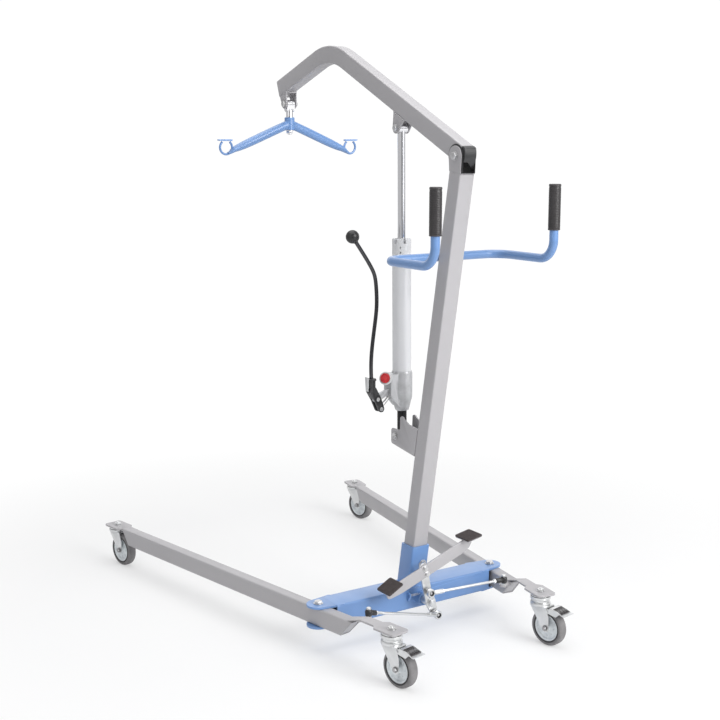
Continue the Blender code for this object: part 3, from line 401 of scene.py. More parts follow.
def bore(obj, at, radius):
    """Hole along X, right through."""
    reach = Vector((0.05, 0, 0))
    return cut(obj, rod(at - reach, at + reach, radius))


def show(obj, name, mat, body, nodes=(), bevel=0.0007, place=None):
    """Name, place, finish and attach one visible piece."""
    if isinstance(obj, bmesh.types.BMesh):
        obj = make(obj)
    if place is not None:
        obj.data.transform(place)
    bm = bmesh.new()
    bm.from_mesh(obj.data)
    bmesh.ops.remove_doubles(bm, verts=bm.verts, dist=0.000005)
    bmesh.ops.recalc_face_normals(bm, faces=bm.faces)
    bm.to_mesh(obj.data)
    bm.free()
    obj.data.transform(Matrix.Translation(SHIFT))
    obj.name = name
    obj.data.name = name
    obj.data.materials.clear()
    obj.data.materials.append(mat)
    obj.data.shade_smooth()
    obj.data.set_sharp_from_angle(angle=math.radians(38))
    if bevel:
        mod = obj.modifiers.new("edge", "BEVEL")
        mod.width = bevel
        mod.segments = 2
        mod.limit_method = "ANGLE"
        mod.angle_limit = math.radians(40)
        mod.harden_normals = True
    bpy.context.view_layer.update()
    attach(obj, body)
    if nodes:
        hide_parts(*nodes)
    return obj


def clad(obj, node, mat, body, bevel=0.0007, place=None):
    """Show a piece that stands in for one CAD node."""
    return show(obj, node + "_look", mat, body, [node], bevel, place)


# ---------------------------------------------------------------- studio levels
FLOOR_LIFT = 0.45
SKY = 0.38
WHITE_OUT = 1.03
KEY_POWER = 165
TOP_POWER = 85
FILL_POWER = 9
# share of a turn from -X through -Y, and how bright the surroundings look there
MIRROR_BANDS = [(0.06, 1.25), (0.22, 1.25), (0.3, 0.62), (0.6, 0.62), (0.655, 0.6), (0.675, 0.12),
                (0.71, 0.1), (0.735, 0.85), (0.9, 1.0), (0.935, 0.22), (0.965, 0.22), (1.0, 0.62)]


# ---------------------------------------------------------------- materials
def feed(tree, node, values):
    """Set a node's inputs, or link them where the value is another node's output."""
    for key, value in values.items():
        socket = node.inputs[key.replace("_", " ")]
        if isinstance(value, bpy.types.NodeSocket):
            tree.links.new(value, socket)
        else:
            socket.default_value = value


def wire(tree, kind, *sources):
    """Add a node and link its inputs in their own order."""
    node = tree.nodes.new("ShaderNode" + kind)
    for socket, source in zip(node.inputs, sources):
        tree.links.new(source, socket)
    return node


def rgba(value):
    return (*value, 1.0) if isinstance(value, tuple) else value


def tint(colour, k):
    return tuple(min(1.0, c * k) for c in colour)


class Shader:
    """Small builder for one procedural material."""

    def __init__(self, name):
        self.mat = bpy.data.materials.new(name)
        self.mat.use_nodes = True
        self.tree = self.mat.node_tree
        self.bsdf = self.tree.nodes["Principled BSDF"]
        self.coord = self.add("TexCoord").outputs["Object"]

    def add(self, kind, **values):
        node = self.tree.nodes.new("ShaderNode" + kind)
        feed(self.tree, node, values)
        return node

    def set(self, **values):
        feed(self.tree, self.bsdf, values)

    def noise(self, scale, detail=3.0, stretch=None):
        source = self.coord
        if stretch:
            source = self.add("Mapping", Scale=stretch, Vector=source).outputs["Vector"]
        return self.add("TexNoise", Scale=scale, Detail=detail, Vector=source).outputs["Fac"]

    def span(self, source, low, high, start=0.3, end=0.7):
        """Map start..end of the source onto low..high."""
        node = self.add("MapRange", Value=source, From_Min=start, From_Max=end, To_Min=low, To_Max=high)
        return node.outputs["Result"]

    def mix(self, fac, a, b):
        node = self.add("Mix")
        node.data_type = "RGBA"
        feed(self.tree, node, {"Factor": fac, "A": rgba(a), "B": rgba(b)})
        return node.outputs["Result"]

    def mottle(self, colour, scale, low, high, detail=3.0):
        """The colour, drifting between two levels of brightness."""
        return self.mix(self.span(self.noise(scale, detail), 0.0, 1.0), tint(colour, low),
                        tint(colour, high))

    def edges(self, start=0.51, end=0.56):
        return self.span(self.add("NewGeometry").outputs["Pointiness"], 0.0, 1.0, start, end)

    def finish(self, colour, rough, *bumps, **values):
        """Set the surface; bumps are (height output, distance in metres, strength)."""
        self.set(Base_Color=colour, Roughness=rough, **values)
        normal = None
        for height, distance, strength in bumps:
            node = self.add("Bump", Height=height, Distance=distance, Strength=strength)
            if normal is not None:
                self.tree.links.new(normal, node.inputs["Normal"])
            normal = node.outputs["Normal"]
        self.set(Normal=normal)
        return self.mat


def powder_coat(name, colour, low, high, metal=0.0, coat=0.18):
    """Painted metal with a fine grain."""
    s = Shader(name)
    base = s.mix(0.45, s.mottle(colour, 7.0, 0.96, 1.04), s.mottle(colour, 1500.0, 0.93, 1.07, 1.0))
    return s.finish(s.mix(s.edges(), base, tint(colour, 1.18)), s.span(s.noise(22.0), low, high),
                    (s.noise(900.0, 2.0), 0.0002, 0.16), (s.noise(60.0), 0.0004, 0.05),
                    Metallic=metal, Coat_Weight=coat, Coat_Roughness=0.25)


def plated(name, colour, low, high, grain=600.0):
    """Zinc plated metal, with painted shade darkening its hollows and creases."""
    s = Shader(name)
    yellowed = (colour[0], colour[1] * 0.97, colour[2] * 0.88)
    warm = s.mix(s.span(s.noise(12.0, 2.0), 0.0, 0.25), s.mottle(colour, 35.0, 0.88, 1.05), yellowed)
    # Painted shade: hollows and creases (low pointiness) are darkened to 0.72 of the colour.
    return s.finish(s.mix(s.edges(0.44, 0.49), tint(colour, 0.72), warm),
                    s.span(s.noise(90.0, 4.0), low, high),
                    (s.noise(grain, 3.0), 0.0001, 0.2), Metallic=1.0)


def brushed(name, colour, low, high, stretch):
    """Drawn or brushed metal, its lines along the stretched axis."""
    s = Shader(name)
    lines = s.noise(260.0, 4.0, stretch)
    return s.finish(s.mix(s.span(lines, 0.0, 1.0), tint(colour, 0.9), tint(colour, 1.04)),
                    s.span(lines, low, high), (lines, 0.00008, 0.15), Metallic=1.0)


def soft(name, colour, low, high, grain, depth, strength=0.35, edge_lift=1.5):
    """Rubber and moulded plastic."""
    s = Shader(name)
    # Convex edges (high pointiness) are made lighter by the given factor.
    return s.finish(s.mix(s.edges(), s.mottle(colour, 40.0, 0.8, 1.2), tint(colour, edge_lift)),
                    s.span(s.noise(120.0), low, high), (s.noise(grain, 4.0), depth, strength))


def cast_metal():
    s = Shader("look_cast")
    colour = (0.5, 0.505, 0.515)
    return s.finish(s.mix(s.edges(), s.mottle(colour, 60.0, 0.82, 1.12, 4.0), tint(colour, 1.35)),
                    s.span(s.noise(200.0), 0.38, 0.58),
                    (s.noise(850.0, 3.0), 0.0003, 0.35), (s.noise(90.0), 0.0006, 0.12), Metallic=0.35)


def collar_plastic():
    s = Shader("look_gland")
    return s.finish(s.mix(s.span(s.noise(50.0), 0.0, 1.0), (0.66, 0.665, 0.68), (0.72, 0.725, 0.735)),
                    s.span(s.noise(150.0), 0.29, 0.36), (s.noise(500.0), 0.0001, 0.15))


def tyre_rubber():
    s = Shader("look_tyre")
    colour = (0.205, 0.199, 0.202)
    dust = s.mix(s.span(s.noise(45.0, 5.0), 0.0, 1.0, 0.35, 0.75), colour, tint(colour, 1.45))
    return s.finish(s.mix(s.span(s.noise(900.0, 2.0), 0.0, 0.4), dust, tint(colour, 0.7)),
                    s.span(s.noise(60.0), 0.55, 0.8), (s.noise(700.0, 4.0), 0.0003, 0.35))


GREY = powder_coat("look_grey", (0.4, 0.39, 0.402), 0.36, 0.48, 0.1)
BLUE = powder_coat("look_blue", (0.142, 0.275, 0.55), 0.3, 0.42, 0.0, 0.6)
ZINC = plated("look_zinc", (0.73, 0.74, 0.75), 0.29, 0.38)
STEEL = plated("look_bolt", (0.66, 0.66, 0.67), 0.29, 0.42, 400.0)
AXLE = plated("look_axle", (0.42, 0.42, 0.43), 0.3, 0.42, 400.0)
CHROME = brushed("look_chrome", (0.8, 0.8, 0.82), 0.05, 0.14, (1.0, 1.0, 18.0))
DARK = brushed("look_dark_steel", (0.075, 0.075, 0.08), 0.12, 0.22, (1.0, 1.0, 6.0))
WHITE = powder_coat("look_white", (0.7, 0.705, 0.72), 0.3, 0.38, 0.15)
CAST = cast_metal()
GLAND = collar_plastic()
BLACK = soft("look_black", (0.016, 0.016, 0.017), 0.29, 0.42, 500.0, 0.0001, 0.2, 2.2)
RUBBER = soft("look_rubber", (0.03, 0.027, 0.028), 0.38, 0.5, 900.0, 0.0002, 0.25, 1.8)
PAD = soft("look_pad", (0.03, 0.024, 0.024), 0.55, 0.75, 800.0, 0.0002, 0.4, 2.0)
RED = soft("look_red", (0.62, 0.028, 0.035), 0.29, 0.36, 500.0, 0.0001, 0.15, 1.25)
IVORY = soft("look_ivory", (0.66, 0.66, 0.66), 0.29, 0.4, 500.0, 0.0001, 0.15, 1.1)
TYRE = tyre_rubber()
DISC = soft("look_disc", (0.78, 0.82, 0.85), 0.29, 0.42, 400.0, 0.0001, 0.2, 1.15)


# ---------------------------------------------------------------- local frames
def leg_frame(side):
    turn = Matrix.Rotation(side * SPLAY, 4, "Z")
    return Matrix.Translation((side * LEG_X, 0, 0)) @ turn @ Matrix.Diagonal((side, 1, 1, 1))


def mast_frame():
    return Matrix.Translation((0, MAST_Y0, 0)) @ Matrix.Rotation(-LEAN, 4, "X")


def pump_frame():
    axis = ROD_PIN - FOOT_PIN
    return Matrix.Translation(FOOT_PIN) @ Matrix.Rotation(math.atan2(-axis.y, axis.z), 4, "X")


def rocker_frame():
    return Matrix.Translation(ROCKER) @ Matrix.Rotation(TILT, 4, "Y")


def rear_start():
    slope = (BEND - HINGE).normalized()
    return HINGE + Vector((0, slope.z, -slope.y)) * BOOM_RISE


def boom_frame():
    back = rear_start() - BEND
    return Matrix.Translation(HINGE) @ Matrix.Rotation(math.atan2(back.z, back.y), 4, "X")


def tip_frame():
    back = BEND - TIP
    return Matrix.Translation(TIP) @ Matrix.Rotation(math.atan2(back.z, back.y), 4, "X")


def caster_frame(side, along):
    at = leg_frame(side) @ Vector((0, along, 0))
    return Matrix.Translation((at.x, at.y, 0)) @ Matrix.Rotation(YAW, 4, "Z")


def mast_front(z):
    """Y of the mast's front face at a height."""
    return MAST_Y0 + z * math.tan(LEAN) - MAST_HALF / math.cos(LEAN)


# ---------------------------------------------------------------- base
def weld(points, radius, name, body, mat):
    """Rippled weld bead along a closed or open run of points."""
    path = [Vector(p) for p in points]
    count = 10
    fine = []
    for a, b in zip(path, path[1:]):
        for i in range(count):
            fine.append(a.lerp(b, i / count))
    fine.append(path[-1])
    ripple = len(fine) * 1.7
    bead = sweep(fine, circle(radius, 10), (0.3, 0.2, 0.9), None,
                 lambda t: 1 + 0.16 * math.sin(t * ripple * 2.4))
    return show(bead, name, mat, body, bevel=0)


def base_beam():
    place = lambda u, v, w: Vector((w, u, v + 0.1))
    beam = make(prism(rounded(0.04, 0.03, 0.0055), -BEAM_HALF_X, BEAM_HALF_X, place))
    cut(beam, prism(rounded(0.036, 0.026, 0.003), -0.3, 0.3, place))
    outline = hull([(LEG_X, 0, 0.031), (BEAM_HALF_X - 0.02, 0.034, 0.006),
                    (BEAM_HALF_X - 0.02, -0.034, 0.006)], 96)
    for side in (1, -1):
        for z0 in (BEAM_LOW + 0.0002, BEAM_HIGH - 0.0057):
            plate = moved(prism(outline, z0, z0 + 0.0055, on_z), Matrix.Diagonal((side, 1, 1, 1)))
            join(beam, plate)
        cut(beam, rod((side * LEG_X, 0, 0.05), (side * LEG_X, 0, 0.15), 0.0083))
    join(beam, turned((ROCKER.x, 0.038, ROCKER.z), (0, 1, 0),
                      [(0, 0), (0.0185, 0), (0.0185, 0.003), (0.0175, 0.0045), (0.0175, 0.02),
                       (0.0165, 0.021), (0, 0.021)]))
    cut(beam, rod((ROCKER.x, 0.03, ROCKER.z), (ROCKER.x, 0.08, ROCKER.z), 0.0073))
    lug = prism(hull([(0.046, 0.112, 0.007), (0.042, 0.1, 0.004), (0.038, 0.118, 0.003)]), 0.026, 0.03,
                on_x)
    join(beam, lug)
    cut(beam, rod((0.02, 0.0475, 0.1125), (0.04, 0.0475, 0.1125), 0.0032))
    clad(beam, "base_beam", BLUE, "base", 0.0009)
    for side, tag in SIDES:
        pin = bolt((side * LEG_X, 0, BEAM_HIGH + GAP), (0, 0, -1), 0.008, BEAM_HIGH - BEAM_LOW + 2 * GAP,
                   0.019, 0.007)
        clad(pin, "pivot_bolt_" + tag, STEEL, "base", 0.0004)


def slant(z, v):
    """Height along the mast of a level plane at z."""
    return (z + v * math.sin(LEAN)) / math.cos(LEAN)


def mast_shell(half, wall, low, high, radius, square):
    """Leaning square tube with a level foot and a square or level top."""
    faces = []
    for size, r in ((half, radius), (half - wall, max(radius - wall, 0.0012))):
        ring = rounded(size, size, r, 6)
        faces.append([[(u, v, slant(low, v)) for u, v in ring],
                      [(u, v, high if square else slant(high, v)) for u, v in ring]])
    return moved(shell(*faces), mast_frame())


def rim_points(half, z, radius):
    """Level ring round the leaning square tube."""
    pts = [mast_frame() @ Vector((u, v, slant(z, v))) for u, v in rounded(half, half, radius, 3)]
    return pts + [pts[0]]


def mast():
    socket = mast_shell(SOCKET_HALF, SOCKET_HALF - MAST_HALF - 0.0004, BEAM_HIGH + GAP, SOCKET_TOP, 0.005,
                        False)
    clad(socket, "mast_socket", BLUE, "base", 0.0008)
    weld(rim_points(SOCKET_HALF, BEAM_HIGH + 0.0015, 0.005), 0.0021, "socket_weld", "base", BLUE)
    rear = (mast_frame().to_3x3() @ Vector((0, 1, 0))).normalized()
    seat = mast_frame() @ Vector((-0.01, SOCKET_HALF, 0.206))
    profile = [(0, 0), (0.0115, 0), (0.0115, 0.0015), (0.01, 0.0018), (0.0088, 0.0018)]
    profile += [(0.0088, 0.0021, 6), (0.0092, 0.0026, 6), (0.0092, 0.0075, 6), (0.0088, 0.0082, 6),
                (0.0072, 0.0086)]
    profile += [(0.0045, 0.0086), (0.0045, 0.0102), (0.0036, 0.0108), (0, 0.0108)]
    show(turned(seat, rear, profile, 48), "socket_clamp_bolt", STEEL, "base", bevel=0.0003)
    tube = mast_shell(MAST_HALF, 0.003, BEAM_HIGH + 0.0012, MAST_TOP, 0.0035, True)
    clad(tube, "mast_tube", GREY, "base", 0.0005)


def mast_head():
    centre = mast_frame().inverted() @ HINGE
    low = MAST_TOP + GAP
    a = [(-MAST_HALF + 0.002, low + 0.002, 0.002), (MAST_HALF - 0.002, low + 0.002, 0.002),
         (centre.y, centre.z, 0.025)]
    head = make(moved(prism(hull(a, 96), -MAST_HALF, MAST_HALF, on_x), mast_frame()))
    cut(head, moved(box(-0.02, 0.02, -0.08, 0.08, low + 0.0035, low + 0.12), mast_frame()))
    bore(head, HINGE, HINGE_BORE)
    clad(head, "mast_head", GREY, "base", 0.0006)
    base = low + 0.0035 + GAP
    a = [(-MAST_HALF + 0.004, base + 0.001, 0.001), (MAST_HALF + 0.0035, base + 0.001, 0.001),
         (centre.y, centre.z, 0.0292)]
    liner = make(moved(prism(hull(a, 96), -0.0197, 0.0197, on_x), mast_frame()))
    cut(liner, moved(box(-0.0183, 0.0183, -0.08, 0.08, base + 0.0015, base + 0.12), mast_frame()))
    bore(liner, HINGE, HINGE_BORE)
    clad(liner, "head_liner", BLACK, "base", 0.0004)
    pin = cross_bolt(HINGE, MAST_HALF, 0.0175, 0.0068)
    clad(pin, "boom_pivot_bolt", STEEL, "base", 0.0004)


def pump_bracket():
    top, low = 0.5745, 0.4985
    half = MAST_HALF - 0.0005
    pts = [(mast_front(top) - 2 * GAP, top), (0.03, 0.5795)]
    pts += arc(-0.0008, 0.5865, 0.009, 25, 155, 12)
    pts += [(-0.01, 0.56)]
    pts += arc(-0.015, 0.561, 0.0045, -10, -90, 5)
    pts += arc(-0.0425, 0.5485, 0.008, 90, 180, 8) + arc(-0.0425, 0.521, 0.008, 180, 245, 6)
    pts += [(mast_front(low) - 2 * GAP, low)]
    bracket = make(prism(pts, -half, half, on_x))
    inner = [(-0.1, 0.4), (mast_front(0.4) - 0.0045, 0.4), (mast_front(0.7) - 0.0045, 0.7), (-0.1, 0.7)]
    cut(bracket, prism(inner, -half + 0.0038, half - 0.0038, on_x))
    bore(bracket, Vector((0, -0.0008, 0.5865)), 0.0036)
    bore(bracket, FOOT_PIN, PIN_BORE)
    clad(bracket, "pump_bracket", GREY, "base", 0.0006)
    pin = cross_bolt(FOOT_PIN, half, 0.0155, 0.006)
    clad(pin, "foot_pin", STEEL, "base", 0.0004)


def handlebar():
    corners = []
    for side in (1, -1):
        run = [(side * GRIP_X, GRIP_Y, 1.2), (side * GRIP_X, GRIP_Y, BAR_Z), (side * GRIP_X, BAR_Y, BAR_Z)]
        corners += run if side == 1 else run[::-1]
    bar = sweep(bend_path(corners, 0.048, 20), circle(0.011, 40), (1, 0, 0), circle(0.009, 40))
    clad(bar, "handlebar", BLUE, "base", 0)
    front = mast_front(BAR_Z)
    for dz in (0.0085, -0.0085):
        weld([(-0.019, front - 0.0012, BAR_Z + dz), (0.019, front - 0.0012, BAR_Z + dz)], 0.0019,
             "bar_weld_" + ("top" if dz > 0 else "low"), "base", BLUE)
    for side, tag in SIDES:
        profile = [(0.0113, 0), (0.0138, 0), (0.015, 0.001), (0.015, 0.004), (0.0142, 0.0048)]
        z = 0.006
        while z < 0.1:
            profile += [(0.01465, z), (0.0149, z + 0.0006), (0.0149, z + 0.0024), (0.01465, z + 0.003)]
            z += 0.004
        profile += [(0.0142, 0.106), (0.015, 0.107), (0.015, 0.1105), (0.0138, 0.112), (0, 0.1124),
                    (0, 0.1075), (0.0113, 0.1075)]
        grip = turned((side * GRIP_X, GRIP_Y, 1.102), (0, 0, 1), profile, 56)
        clad(grip, "grip_" + tag, RUBBER, "base", 0)


# ---------------------------------------------------------------- boom
def boom():
    start = boom_frame() @ Vector((0, BOOM_REAR, BOOM_RISE))
    path = bend_path([start, BEND, TIP], 0.19, 28)
    tube = make(sweep(path, rounded(BOOM_W, BOOM_H, 0.0038, 5), (1, 0, 0),
                      rounded(BOOM_W - 0.0025, BOOM_H - 0.0025, 0.0015, 5)))
    bore(tube, HINGE, HINGE_BORE)
    clad(tube, "boom_tube", GREY, "boom", 0.0004)
    top = BOOM_RISE + BOOM_H - 0.0003
    low = BOOM_RISE - BOOM_H + 0.0003
    y0 = BOOM_REAR + GAP
    outline = [(y0, low), (0.029, low)] + arc(0.029, low + 0.0035, 0.0035, -90, -10, 6)
    outline += arc(-0.015, -0.001, 0.048, 8, 42, 12)[1:] + [(0.016, top), (y0, top)]
    cap = prism(outline, -0.0178, 0.0178, on_x)
    clad(cap, "boom_end_cap", BLACK, "boom", 0.0012, place=boom_frame())
    plug = prism(rounded(BOOM_W - 0.0028, BOOM_H - 0.0028, 0.002), -0.004, 0.006, on_y)
    show(plug, "boom_tip_plug", BLACK, "boom", bevel=0.0006, place=tip_frame())


def cheek_bracket(matrix, pin, reach, name, nose):
    """Two-cheeked bracket under the boom, welded along both sides."""
    centre = matrix.inverted() @ pin
    top = -BOOM_H - GAP + reach[2]
    outline = hull([(reach[0] + 0.001, top - 0.001, 0.001), (reach[1] - 0.001, top - 0.001, 0.001),
                    (centre.y, centre.z, nose)], 80)
    body = make(moved(prism(outline, -BOOM_W, BOOM_W, on_x), matrix))
    cut(body, moved(box(-0.0145, 0.0145, -2, 2, -0.2, top - 0.003), matrix))
    bore(body, pin, PIN_BORE)
    clad(body, name, GREY, "boom", 0.0006)
    for side, tag in SIDES:
        seam = [matrix @ Vector((side * BOOM_W, y, top + 0.0002)) for y in reach[:2]]
        weld(seam, 0.0014, name + "_weld_" + tag, "boom", GREY)


def boom_brackets():
    cheek_bracket(boom_frame(), ROD_PIN, (-0.288, -0.238, BOOM_RISE), "rod_bracket", 0.0145)
    cheek_bracket(tip_frame(), HANG_PIN, (0.003, 0.044, 0.0), "hanger_bracket", 0.0135)
    for name, pin in (("rod_pin", ROD_PIN), ("hanger_pin", HANG_PIN)):
        clad(cross_bolt(pin, BOOM_W, 0.015, 0.0058), name, STEEL, "boom", 0.0004)


def spindle():
    pin = HANG_PIN
    foot = HUB_TOP + GAP
    seat = HUB_LOW - GAP
    profile = [(0, seat - 0.013), (0.0048, seat - 0.013), (0.0058, seat - 0.012), (0.0058, seat - 0.0105)]
    profile += [(0.0085, seat - 0.0105), (0.01, seat - 0.01, 6), (0.01097, seat - 0.008, 6),
                (0.01097, seat - 0.003, 6), (0.01, seat - 0.0012, 6), (0.0135, seat - 0.0012),
                (0.0135, seat)]
    profile += [(0.006, seat), (0.006, foot), (0.012, foot), (0.012, foot + 0.0015),
                (0.0105, foot + 0.002), (0.0105, 1.401), (0.0098, 1.403), (0.0098, 1.406),
                (0.0105, 1.408), (0.009, 1.411), (0, 1.411)]
    piece = make(lathe(profile, 64))
    piece.data.transform(Matrix.Translation((0, pin.y, 0)))
    join(piece, prism(hull([(pin.y, pin.z, 0.012), (pin.y, pin.z - 0.014, 0.009)], 64), -0.0125, 0.0125,
                      on_x))
    bore(piece, pin, PIN_BORE)
    clad(piece, "hanger_spindle", CHROME, "hanger", 0.0005)


def spreader():
    axis_y = HANG_PIN.y
    profile = [(0, HUB_LOW), (0.0138, HUB_LOW), (0.015, HUB_LOW + 0.0012), (0.015, HUB_TOP - 0.0012),
               (0.0138, HUB_TOP), (0, HUB_TOP)]
    bar = make(lathe(profile))
    bar.data.transform(Matrix.Translation((0, axis_y, 0)))
    knots = [(0.006, 1.364, 0.0125, 0.0125), (0.06, 1.3425, 0.0128, 0.0128),
             (0.13, 1.314, 0.0124, 0.0124), (0.165, 1.3, 0.0108, 0.0128), (0.186, 1.2915, 0.008, 0.0135),
             (0.198, 1.284, 0.005, 0.0122), (0.206, 1.2805, 0.0036, 0.0085)]
    for side in (1, -1):
        join(bar, spreader_arm(side, axis_y, knots))
        path = []
        for i in range(49):
            a = math.radians(128.0 + 284.0 * i / 48)
            path.append(Vector((side * (HOOK_X + HOOK_R * math.cos(a)), axis_y,
                                HOOK_Z + HOOK_R * math.sin(a))))
        join(bar, sweep(path, circle(0.0033, 20), (0, 1, 0)))
    cut(bar, rod((0, axis_y, 1.3), (0, axis_y, 1.42), 0.0064))
    clad(bar, "spreader_bar", BLUE, "spreader", 0.0004)
    for side, tag in SIDES:
        z = HOOK_Z + HOOK_R + 0.0012
        outline = hull([(0.1945, z, 0.0026), (0.232, z, 0.002), (0.2365, z + 0.0008, 0.0017)], 32)
        latch = prism([(side * u, v) for u, v in outline], axis_y - 0.0045, axis_y + 0.0045, on_y)
        clad(latch, "latch_" + tag, BLUE, "latch_" + tag, 0.0006)


def spreader_arm(side, axis_y, knots):
    stations = curve_path([Vector((k[0], k[1], k[2])) for k in knots], 5)
    depths = curve_path([Vector((k[3], 0, 0)) for k in knots], 5)
    bm = bmesh.new()
    rings = []
    for i, (s, d) in enumerate(zip(stations, depths)):
        a = stations[max(i - 1, 0)]
        b = stations[min(i + 1, len(stations) - 1)]
        run = Vector((b.x - a.x, 0, b.y - a.y)).normalized()
        up = Vector((-run.z, 0, run.x))
        ring = []
        for u, v in circle(1.0, 36):
            p = Vector((s.x, 0, s.y)) + up * (v * s.z) + Vector((0, u * d.x, 0))
            ring.append(bm.verts.new((side * p.x, axis_y + p.y, p.z)))
        rings.append(ring)
    for a, b in zip(rings, rings[1:]):
        skin(bm, a, b)
    bm.faces.new(rings[0])
    bm.faces.new(rings[-1])
    return done(bm)


# ---------------------------------------------------------------- pump
def pump():
    reach = (ROD_PIN - FOOT_PIN).length
    place = pump_frame()
    shaft = [(0, 0.455), (0.0095, 0.455), (0.0105, 0.456), (0.0105, reach), (0, reach)]
    body = make(lathe(shaft))
    join(body, prism(circle(0.013, 64, 0, reach), -0.0135, 0.0135, on_x))
    bore(body, Vector((0, 0, reach)), PIN_BORE)
    clad(body, "piston_rod", CHROME, "piston_rod", 0.0006, place=place)
    profile = [(0, CYL_LOW), (CYL_R, CYL_LOW), (CYL_R, COLLAR_LOW - GAP), (0.0118, COLLAR_LOW - GAP),
               (0.0118, 0.205), (0, 0.205)]
    clad(lathe(profile, 96), "pump_cylinder", WHITE, "pump", 0.0003, place=place)
    gland(place)
    pump_body(place)
    foot_stud(place)


def gland(place):
    """Castellated collar with pin holes."""
    profile = [(0.0112, COLLAR_LOW), (CYL_R, COLLAR_LOW), (CYL_R, COLLAR_LOW + 0.001),
               (CYL_R - 0.0006, COLLAR_LOW + 0.0016), (CYL_R - 0.0006, COLLAR_LOW + 0.003),
               (CYL_R, COLLAR_LOW + 0.0036), (CYL_R, COLLAR_TOP - 0.0012), (CYL_R - 0.0012, COLLAR_TOP),
               (0.015, COLLAR_TOP), (0.014, COLLAR_TOP - 0.006), (0.0112, COLLAR_TOP - 0.007)]
    collar = make(lathe(profile, 96))
    slot = lambda: box(-0.03, 0.03, -0.0035, 0.0035, COLLAR_TOP - 0.013, COLLAR_TOP + 0.01)
    cut_round(collar, 3, slot, 60, 15)
    for z in (COLLAR_LOW + 0.012, COLLAR_LOW + 0.025):
        cut_round(collar, 4, lambda: rod((0.019, 0, z), (0.03, 0, z), 0.0022, 24), 90, 47)
    clad(collar, "gland_collar", GLAND, "pump", 0.0004, place=place)


def pump_body(place):
    profile = [(0, 0.069), (0.0165, 0.069), (0.0185, 0.071), (0.0215, 0.082), (0.0245, 0.095),
               (0.027, 0.103), (0.028, 0.112), (0.028, 0.17), (0.0272, 0.1735), (0.0262, CYL_LOW - GAP),
               (0, CYL_LOW - GAP)]
    body = make(moved(lathe(profile, 72), place))
    wing = [(-0.004, 0.708), (0.04, 0.708)] + arc(0.0405, 0.7025, 0.005, 60, 0, 4)
    wing += [(0.046, 0.654), (0.044, 0.6485), (0.019, 0.619), (0.012, 0.616), (-0.004, 0.616)]
    join(body, prism(wing, LEVER_Y - 0.018, LEVER_Y + 0.016, on_y))
    tongue = hull([(LEVER_PIVOT.x, LEVER_PIVOT.z, 0.0085), (0.046, 0.661, 0.0075)])
    join(body, prism(tongue, LEVER_Y - 0.005, LEVER_Y + 0.005, on_y))
    ring = [(0, 0), (0.0135, 0), (0.0135, 0.0135), (0.0125, 0.015), (0.0125, 0.017), (0, 0.017)]
    join(body, turned(KNOB - KNOB_DIR * 0.022, KNOB_DIR, ring, 48))
    for z in (0.662, 0.65):
        seat = Vector((-0.02, LEVER_Y, z))
        out = (Vector((-0.0335, LEVER_Y - 0.004, z)) - seat).normalized()
        tip = [(0, 0), (0.0043, 0), (0.0043, 0.01), (0.005, 0.0105, 6), (0.005, 0.0128, 6),
               (0.0032, 0.013), (0.0032, 0.0145), (0, 0.0145)]
        join(body, turned(seat, out, tip, 36))
    cut(body, rod(LEVER_PIVOT - Vector((0, 0.02, 0)), LEVER_PIVOT + Vector((0, 0.02, 0)), 0.0043))
    start = PLUNGE_PIN + PUSH_DIR * 0.0085
    cut(body, rod(start, start + PUSH_DIR * 0.062, 0.0052))
    cut(body, rod(KNOB - KNOB_DIR * 0.016, KNOB + KNOB_DIR * 0.01, 0.0043))
    clad(body, "pump_body", CAST, "pump", 0.0012)
    gland_nut = [(0.0055, 0.0302), (0.0086, 0.0302, 6), (0.009, 0.031, 6), (0.009, 0.04, 6), (0.0055, 0.04)]
    show(turned(start, PUSH_DIR, gland_nut, 48), "plunger_nut", STEEL, "pump", bevel=0.0003)


def thread(radius, low, high, pitch, depth):
    """Profile points of a threaded length."""
    pts = []
    z = low
    while z + pitch < high:
        pts += [(radius - depth, z), (radius, z + pitch * 0.35), (radius, z + pitch * 0.5),
                (radius - depth, z + pitch * 0.9)]
        z += pitch
    return pts


def foot_stud(place):
    low, high = 0.0143, 0.0687
    profile = [(0, low), (0.0095, low)] + thread(0.013, low + 0.003, high, 0.0022, 0.0009)
    profile += [(0.0122, high), (0, high)]
    clad(lathe(profile, 56), "foot_stud", BLACK, "pump", 0, place=place)


def release_knob():
    profile = [(0, -0.014), (0.004, -0.014), (0.004, -0.0047), (0.0165, -0.0047), (0.0175, -0.004),
               (0.0175, 0.0012), (0.0165, 0.0026), (0.0142, 0.003), (0.0134, 0.002), (0.0128, 0.001),
               (0, 0.001)]
    show(turned(KNOB, KNOB_DIR, profile, 72), "release_knob_ring", IVORY, "release_knob", bevel=0)
    cap = [(0, 0.0013), (0.0126, 0.0013), (0.0126, 0.006), (0.0118, 0.0074), (0.01, 0.0078),
           (0.0094, 0.007), (0.008, 0.0068), (0.0072, 0.0076), (0.003, 0.008), (0, 0.008)]
    knob = make(lathe(cap, 72))
    cut_round(knob, 12, lambda: rod((0.0134, 0, 0.003), (0.0134, 0, 0.02), 0.0011, 14), 30)
    clad(knob, "release_knob", RED, "release_knob", 0.0003,
         place=Matrix.Translation(KNOB) @ basis(KNOB_DIR))
    start = PLUNGE_PIN + PUSH_DIR * 0.0085
    plunge = [(0, 0), (0.004, 0), (0.0048, 0.0008), (0.0048, 0.0332), (0.004, 0.034), (0, 0.034)]
    clad(turned(start, PUSH_DIR, plunge, 40), "plunger", STEEL, "plunger", 0)


